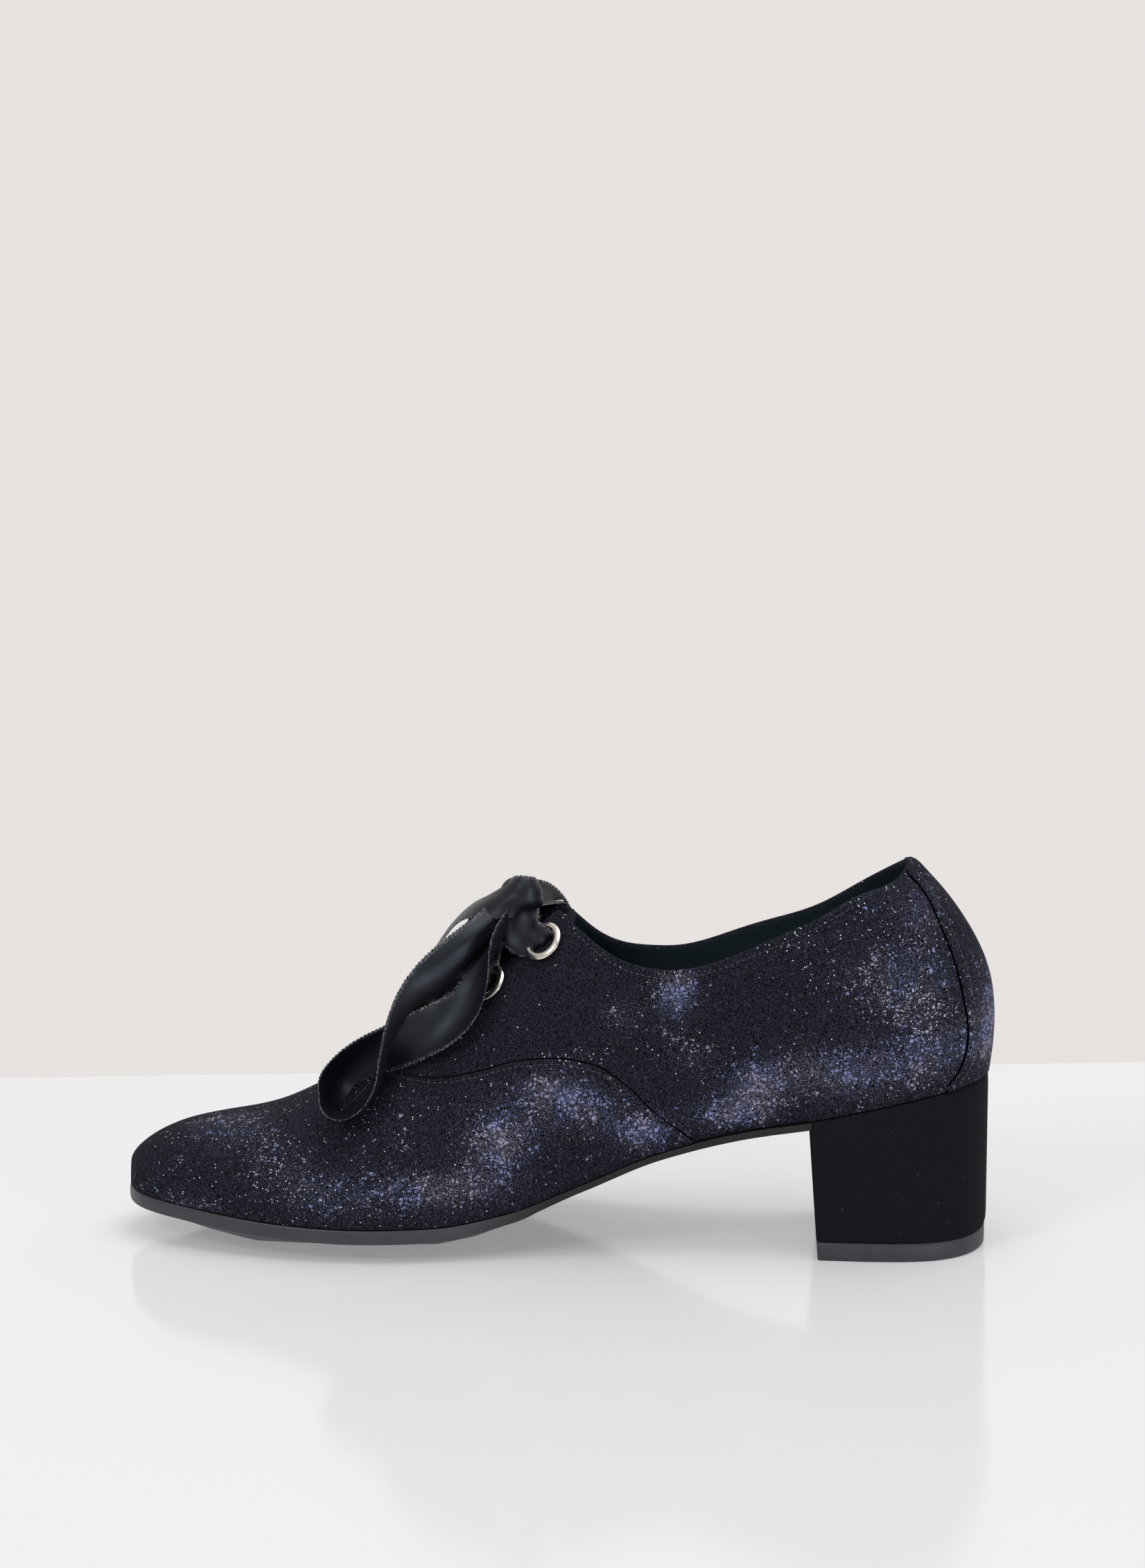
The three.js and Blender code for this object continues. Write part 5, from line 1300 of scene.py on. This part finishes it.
def through(places, steps):
    """Centripetal-like smooth curves through the second axis: Catmull-Rom with steps per span."""
    before = 2 * places[:, :1] - places[:, 1:2]
    after = 2 * places[:, -1:] - places[:, -2:-1]
    padded = np.concatenate([before, places, after], 1)
    q = (np.arange(steps) / steps)[None, None, :, None]
    p0, p1, p2, p3 = (padded[:, k:places.shape[1] - 1 + k, None] for k in range(4))
    d01 = np.linalg.norm(p1 - p0, axis=-1, keepdims=True)**0.5 + 1e-6
    d12 = np.linalg.norm(p2 - p1, axis=-1, keepdims=True)**0.5 + 1e-6
    d23 = np.linalg.norm(p3 - p2, axis=-1, keepdims=True)**0.5 + 1e-6
    m1 = (p2 - p1) + d12 * ((p1 - p0) / d01 - (p2 - p0) / (d01 + d12))
    m2 = (p2 - p1) + d12 * ((p3 - p2) / d23 - (p3 - p1) / (d12 + d23))
    curve = ((2 * q**3 - 3 * q**2 + 1) * p1 + (q**3 - 2 * q**2 + q) * m1
             + (-2 * q**3 + 3 * q**2) * p2 + (q**3 - q**2) * m2)
    curve = curve.reshape(places.shape[0], -1, 3)
    return np.concatenate([curve, places[:, -1:]], 1)


sole_s = np.linspace(0, station_at((BREAST + SOLE_TUCK) / LAST_LENGTH), 190)
grids = []
for side in (-1, 1):
    section = through(sole_side(sole_s, side), 7)
    section[..., 2] = np.maximum(section[..., 2], 0)
    grids.append((section, False, False, 0))
near, far = grids[0][0][-1], grids[1][0][-1]
back_face = np.stack([near, (near + far) / 2, far])
grids.append((back_face, False, False, 0))
outsole = make_mesh("rubber_outsole", grids, [rubber])

# %% [markdown]
# The heel is a wooden block covered with the same dark suede, with a rubber top piece underneath.
# Its plan is the bottom edge of the upper, closed by the flat breast. The plan is worked out as one
# loop, its two sharp corners are softened, and the loops are stacked from the seat to the floor.

# %% Heel block and top piece


def heel_loop(margin, share, above, corner=0.9, count=120):
    """One closed loop: near side to the back, far side to the front, then across the breast."""
    start = station_at((BREAST + CLEARANCE) / LAST_LENGTH)
    q = np.linspace(0, 1, count)
    s = start + (1 - start) * q
    sides = []
    for side in (-1, 1):
        point = edge_point(s, side, np.full_like(s, margin))
        top = point[:, 2] - SEAT_GAP
        point[:, 2] = share * top + above
        drop = 1 - point[:, 2] / top
        point[:, 0] += BREAST_SLANT * drop * (1 - q)**2
        point[:, 0] += BACK_HEIGHT * (BACK_CURVE[1, 1] - 0.02) * drop * q**3
        sides.append(point)
    loop = np.concatenate([sides[0], sides[1][::-1][1:]])
    breast = np.linspace(0, 1, 50)[1:-1, None]
    loop = np.concatenate([loop, loop[-1] + (loop[0] - loop[-1]) * breast])
    return round_corners(loop, corner)


def round_corners(loop, reach, count=420):
    """Even steps round the loop, then a running mean as long as the rounding's reach."""
    closed = np.concatenate([loop, loop[:1]])
    walked = walked_along(closed)
    even = at_lengths(np.linspace(0, walked[-1], count, endpoint=False), walked, closed)
    half = max(int(round(reach / (walked[-1] / count))), 1)
    return sum(np.roll(even, k, axis=0) for k in range(-half, half + 1)) / (2 * half + 1)


def stack(loops, top_follows_bed):
    """Loops joined downwards and closed by a cap at both ends, drawn in to the loop's middle."""

    def cap(rim):
        return [rim + (rim.mean(0) - rim) * share for share in (0.3, 0.6, 0.85, 1.0)]

    top = cap(loops[0])
    if top_follows_bed:
        for ring in top:
            ring[:, 2] = bed_height(ring[:, 0], ring[:, 1]) - SEAT_GAP
    return np.stack(top[::-1] + list(loops) + cap(loops[-1]))


HEEL_MARGIN = SOLE_MARGIN * 0.5
HEEL_LEVELS = 26
levels = [(1.0, 0.0), (0.97, 0.1)]
levels += [(1 - k / HEEL_LEVELS, TOP_PIECE * k / HEEL_LEVELS) for k in range(2, HEEL_LEVELS)]
levels += [(0.0, TOP_PIECE + CLEARANCE)]
tucks = np.zeros(len(levels))
tucks[:2] = 0.4, 0.1  # mm, the rounding under the seat
tucks[-2:] = 0.1, 0.45  # and above the top piece
loops = [heel_loop(HEEL_MARGIN - tuck, share, above) for (share, above), tuck in zip(levels, tucks)]
heel_block = make_mesh("covered_heel", [(stack(loops, True), True, False, 0)], [cover])

levels = [  # height above the floor, tuck, in mm
    (TOP_PIECE, 0.35), (TOP_PIECE - 0.3, 0.05), (TOP_PIECE * 0.5, 0.0), (0.5, 0.05), (0.15, 0.25), (0.0, 0.6),
]
loops = [heel_loop(HEEL_MARGIN - TOP_PIECE_INSET - tuck, 0.0, above) for above, tuck in levels]
top_piece = make_mesh("rubber_top_piece", [(stack(loops, False), True, False, 0)], [top_rubber])

# %% [markdown]
# Inside lie the sock, a padded sheet over the whole bottom, and the tongue, a single layer that
# starts under the vamp and ends in a rounded tip above the last pair of eyelets.

# %% Sock and tongue


def sock_grid(rows=120, columns=29):
    """Top and underside between both edges; the rim is drawn down to round it."""
    inset = WALL + 2 * CLEARANCE
    s = np.linspace(station_at(0.014), station_at(0.988), rows)
    near, far = edge_point(s, -1, np.full_like(s, -inset)), edge_point(s, 1, np.full_like(s, -inset))
    u = np.sin(np.linspace(-np.pi / 2, np.pi / 2, columns)) * 0.5 + 0.5
    place = near[:, None] + (far - near)[:, None] * u[None, :, None]
    low = bed_height(place[..., 0], place[..., 1])
    width = np.linalg.norm(far - near, axis=-1)[:, None]
    from_rim = np.minimum(u, 1 - u)[None, :] * width
    puff = INSOLE_THICKNESS - 0.5 * (1 - smooth(0, 3, from_rim))
    top, bottom = place.copy(), place.copy()
    top[..., 2] = low + puff
    bottom[..., 2] = low
    return np.concatenate([top, bottom[:, ::-1]], 1)


TONGUE_THICKNESS = 1.6
TONGUE_ENDS = (THROAT_START - 12, FACING_TOP + 1)  # x
EYELET_BACK = 1.8


def tongue_grid(rows=90, columns=15, half=0.42):
    """Offsets of the last under the facings, with a rounded upper end."""
    s = np.linspace(*station_at(np.array(TONGUE_ENDS) / LAST_LENGTH), rows)
    q = np.linspace(0, 1, rows)
    outer = -WALL - CLEARANCE - EYELET_BACK * smooth(0, 0.35, q)
    rounding = 1 - 0.5 * np.clip((q * 12 - 10) / 2, 0, None)**2
    u = np.linspace(-1, 1, 2 * columns + 1)
    t = half * rounding[:, None] * u[None, :]
    edge = 0.45 * np.abs(u[None, :])**14
    top = shell_point(s[:, None], t, outer[:, None] - edge)
    bottom = shell_point(s[:, None], t, outer[:, None] - TONGUE_THICKNESS + edge + 0 * t)
    return np.concatenate([top, bottom[:, ::-1]], 1)


grid = sock_grid()
sock = make_mesh("sock", [(grid, True, False, 0), *strip_ends(grid)], [lining])
grid = tongue_grid()
grids = [(grid, True, False, 0), *strip_ends(grid)]
tongue = make_mesh("suede_tongue", grids, [suede], with_patches(grids))

# %% [markdown]
# The eyelets are pressed from thin metal: a broad rounded lip outside, a short barrel through the
# leather and a rolled back. Each is one outline turned about its axis, set square on the leather.

# %% Eyelets
EYELET_ROWS = (0.25, 0.585, 0.92)
EYELET_OUTER = 12.0
EYELET_HOLE = 7.0
EYELET_WALL = 0.6
EYELET_LIP = 0.9
EYELET_SAG = 0.8
EYELET_REACH = 15.0


def eyelet_seat(row, side):
    """Walks EYELET_REACH mm down the leather from the crest."""
    x = THROAT_START + (FACING_TOP - THROAT_START) * EYELET_ROWS[row]
    s = station_at(x / LAST_LENGTH)
    t = np.linspace(0, 0.9, 1801)
    points = last_point(np.full_like(t, s), side * t, float(side))
    at = float(np.interp(EYELET_REACH, walked_along(points), t))
    return s, side * at, last_point(s, side * at), last_normal(s, side * at)


def turned(profile, place, out, around=72):
    """The profile's (radius, height) places turned about the axis out through place."""
    first = unit(np.cross(out, [0.3, 0.1, 1.0]))
    second = np.cross(out, first)
    angle = np.linspace(0, 2 * np.pi, around, endpoint=False)
    ring = np.cos(angle)[:, None] * first + np.sin(angle)[:, None] * second
    radius, height = profile[:, 0], profile[:, 1]
    return place + radius[None, :, None] * ring[:, None] + height[None, :, None] * out


hole = EYELET_HOLE / 2
barrel = hole + EYELET_WALL
lip_foot = CLEARANCE + EYELET_SAG
back = -WALL - CLEARANCE - EYELET_SAG * 0.8
rim = EYELET_OUTER / 2
corners = np.array([  # radius, height off the leather, in mm
    (hole, back + 0.4), (hole + 0.25, back - 0.45), (barrel + 0.8, back - EYELET_WALL),
    (barrel + 1, back - 0.2), (barrel + 0.3, back + 0.05), (barrel, back + 0.4),
    (barrel, lip_foot - 0.5), (barrel + 0.5, lip_foot), (rim - 0.3, lip_foot - 0.1),
    (rim, lip_foot + 0.25), (rim - 0.6, lip_foot + EYELET_LIP * 0.82), (hole + 1.1, lip_foot + EYELET_LIP),
    (hole + 0.25, lip_foot + EYELET_LIP * 0.5), (hole, lip_foot - 0.6), (hole, -0.6),
])
profile = through(np.concatenate([corners, corners[:, :1] * 0], 1)[None], 4)[0][:, :2]
seats = {(row, side): eyelet_seat(row, side) for row in range(3) for side in (-1, 1)}
eyelets = []
for (row, side), seat in seats.items():
    name = f"eyelet_{'near' if side < 0 else 'far'}_{row + 1}"
    ring = turned(profile, *seat[2:])
    eyelet = make_mesh("metal_" + name, [(ring, True, True, 0)], [nickel])
    eyelets.append((eyelet, name))

# %% [markdown]
# The lace crosses the throat three times. Each crossing comes up through one eyelet, gathered to the
# width of the hole, spreads to its full width over the tongue and goes down through the other. The
# highest one is tied: its two strands rise from the eyelets into the knot.

# %% Lace crossings


def bar_rows(row):
    """Places and directions from the near eyelet over the crest to the far one."""
    s = seats[row, -1][0]
    lift = CLEARANCE + EYELET_SAG + EYELET_LIP + CLEARANCE + 1.0
    along = unit(last_point(s + 0.01, 0.0) - last_point(s - 0.01, 0.0))
    crest = shell_point(s, 0.0, lift)
    halves = []
    for side in (-1, 1):
        t, place, out = seats[row, side][1:]
        rows = [(place - out * WALL * 0.4, 0.38), (place + out * lift * 0.7, 0.38),
                (shell_point(s, t * 0.8, lift * 1.12), 0.6),
                (shell_point(s, t * 0.45, lift * 1.05), 0.9)]
        halves.append(rows)
    rows = halves[0] + [(crest, 0.95)] + halves[1][::-1]
    return np.array([(*place, *along, wide) for place, wide in rows])


for name, rows in (("lace_bar_low", bar_rows(0)), ("lace_bar_mid", bar_rows(1))):
    ribbons[name] = add_ribbon("satin_" + name, rows, satin, phase=0.8)

# %% [markdown]
# The knot's core is a small folded egg, because the ribbon is drawn so tight there that no single
# turn can be told. The far loop starts as a band drawn over its near face. A second band comes out
# below it, bends round and goes down into the top near eyelet, and a third one goes to the far side.

# %% Knot
KNOT_HALF = (4.9, 4.4, 4.2)  # mm, half its length, breadth and height
KNOT_TURN = 0.35  # radians, nose down
KNOT_FOLDS = 5


def knot_grid(rows=60, columns=80):
    """An egg whose surface is folded where the ribbon wraps round it."""
    a = np.linspace(0, np.pi, rows)[:, None]
    b = np.linspace(0, 2 * np.pi, columns, endpoint=False)[None, :]
    fold = 1 + 0.05 * np.sin(KNOT_FOLDS * b + 3 * a) * np.sin(a)
    x = KNOT_HALF[0] * np.cos(a) + 0 * b
    y = KNOT_HALF[1] * np.sin(a) * np.cos(b) * fold
    z = KNOT_HALF[2] * np.sin(a) * np.sin(b) * fold
    c, s = math.cos(KNOT_TURN), math.sin(KNOT_TURN)
    return np.stack([x * c + z * s, y, -x * s + z * c], -1) + KNOT_AT


knot = make_mesh("satin_knot", [(knot_grid(), True, False, 0)], [satin])

NEAR_STRAND = np.array([
    (2.2, -2.4, -3, 1, 0, 0.1, 0.6), (0.7, -7.4, -5.8, 0.9, 0, 0.43, 0.85),
    (0.8, -10.6, -8.9, 0.93, -0.1, 0.36, 0.97), (3.7, -12.6, -10.8, 0.8, -0.15, 0.6, 0.95),
])
FAR_STRAND = np.array([
    (1.5, 3.0, -3.4, 1, 0, 0.1, 0.6), (4.8, 5.0, -3.8, 1, 0, 0.1, 0.9), (7.6, 7.4, -3.9, 1, 0, 0.1, 1.0),
])


def into_eyelet(table, side, above, over_hole, in_hole):
    """A strand's rows from the knot, then one above the top eyelet and one inside it."""
    place, out = seats[2, side][2:]
    return np.concatenate([placed(table), [(*(place + out * above), *over_hole), (*(place - out), *in_hole)]])


strand = into_eyelet(NEAR_STRAND, -1, 2.2, (0.5, -0.2, 0.87, 0.7), (0.6, -0.3, 0.7, 0.45))
near_strand = add_ribbon("near_eyelet_strand", strand, satin, fold=-0.6, phase=1.1)[0]
strand = into_eyelet(FAR_STRAND, 1, 3.0, (1, 0, 0.1, 1.0), (0.9, 0.2, 0.3, 0.4))
far_strand = add_ribbon("far_eyelet_strand", strand, satin, phase=1.7)[0]

# %% [markdown]
# The packed solids are now replaced by these pieces. Every piece moves with the shoe's one body.

# %% What replaces what
pairs = [(upper_shell, "upper"), (outsole, "outsole"), (heel_block, "heel_block"),
         (top_piece, "heel_top_piece"), (sock, "insole"), (tongue, "tongue"), (knot, "bow_knot"),
         (near_strand, "lace_bar_top"), *eyelets]
pairs += [(ribbon[0], node) for node, ribbon in ribbons.items()]
for piece, node in pairs:
    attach(piece, "root")
    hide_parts(node)
for piece in (vamp, strip, stitching, seams, far_strand):
    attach(piece, "root")
print("solids replaced:", len(pairs))
for node, *_ in BOW:
    piece, line, length = ribbons[node]
    to_row(line[0]).tolist()
    length * MM
    "object" if "loop" in node else "bare"
    to_row(line[::6]).tolist()

# %% [markdown]
# The shoe stands on a glossy white table with a warm white wall some way behind it. Broad soft
# lights from above and from the front leave no hard shadow, only a soft one under the sole.

# %% Table, wall and light


def slab(name, low, high, finish, turn=0.0):
    """A box between two corners in metres, turned about the vertical."""
    low, high = np.array(low), np.array(high)
    corners = np.array([[(low, high)[i][0], (low, high)[j][1], (low, high)[k][2]]
                        for i in (0, 1) for j in (0, 1) for k in (0, 1)])
    faces = [(0, 1, 3, 2), (4, 6, 7, 5), (0, 4, 5, 1), (2, 3, 7, 6), (0, 2, 6, 4), (1, 5, 7, 3)]
    c, s = math.cos(turn), math.sin(turn)
    corners[:, :2] = corners[:, :2] @ np.array([[c, s], [-s, c]])
    mesh = bpy.data.meshes.new(name)
    mesh.from_pydata(corners.tolist(), [], faces)
    mesh.materials.append(finish)
    thing = bpy.data.objects.new(name, mesh)
    bpy.context.scene.collection.objects.link(thing)
    return thing


def soft_light(name, place, aim, size, power):
    """A rectangular light at place that looks at aim."""
    light = bpy.data.lights.new(name, "AREA")
    light.shape = "RECTANGLE"
    light.size, light.size_y = size
    light.energy = power
    lamp = bpy.data.objects.new(name, light)
    lamp.location = place
    lamp.rotation_euler = (Vector(aim) - Vector(place)).to_track_quat("-Z", "Y").to_euler()
    bpy.context.scene.collection.objects.link(lamp)
    return lamp


table_top = shade("table", (0.55, 0.55, 0.563), 0.12)
Finish(table_top).give(Emission_Color=(0.8, 0.8, 0.83, 1), Emission_Strength=0.3, Specular_IOR_Level=0.14)
wall_paint = shade("wall", (0.0, 0.0, 0.0), 0.9)
Finish(wall_paint).give(Emission_Color=(0.812, 0.776, 0.753, 1), Emission_Strength=0.97)
TABLE_TURN = math.radians(5.9)
table = slab("table", (-3, -1.1, -0.03), (3, 0.188, 0), table_top, TABLE_TURN)
wall = slab("wall", (-4, 1.3, -2), (4, 1.4, 3), wall_paint)
soft_light("overhead", (0.2, -0.1, 1.5), (0, 0, 0), (1.3, 0.9), 11)
soft_light("front left", (-0.9, -1.3, 1.2), (0, 0, 0.05), (0.5, 0.5), 8)
soft_light("front right", (1.0, -1.15, 0.14), (0, 0, 0.08), (0.5, 0.25), 4.5)
world = bpy.data.worlds.new("studio")
world.use_nodes = True
world.node_tree.nodes["Background"].inputs["Color"].default_value = (1, 0.99, 0.98, 1)
world.node_tree.nodes["Background"].inputs["Strength"].default_value = 0.47
bpy.context.scene.world = world
bpy.context.scene.view_settings.view_transform = "Standard"
print("lights:", len(bpy.data.lights))
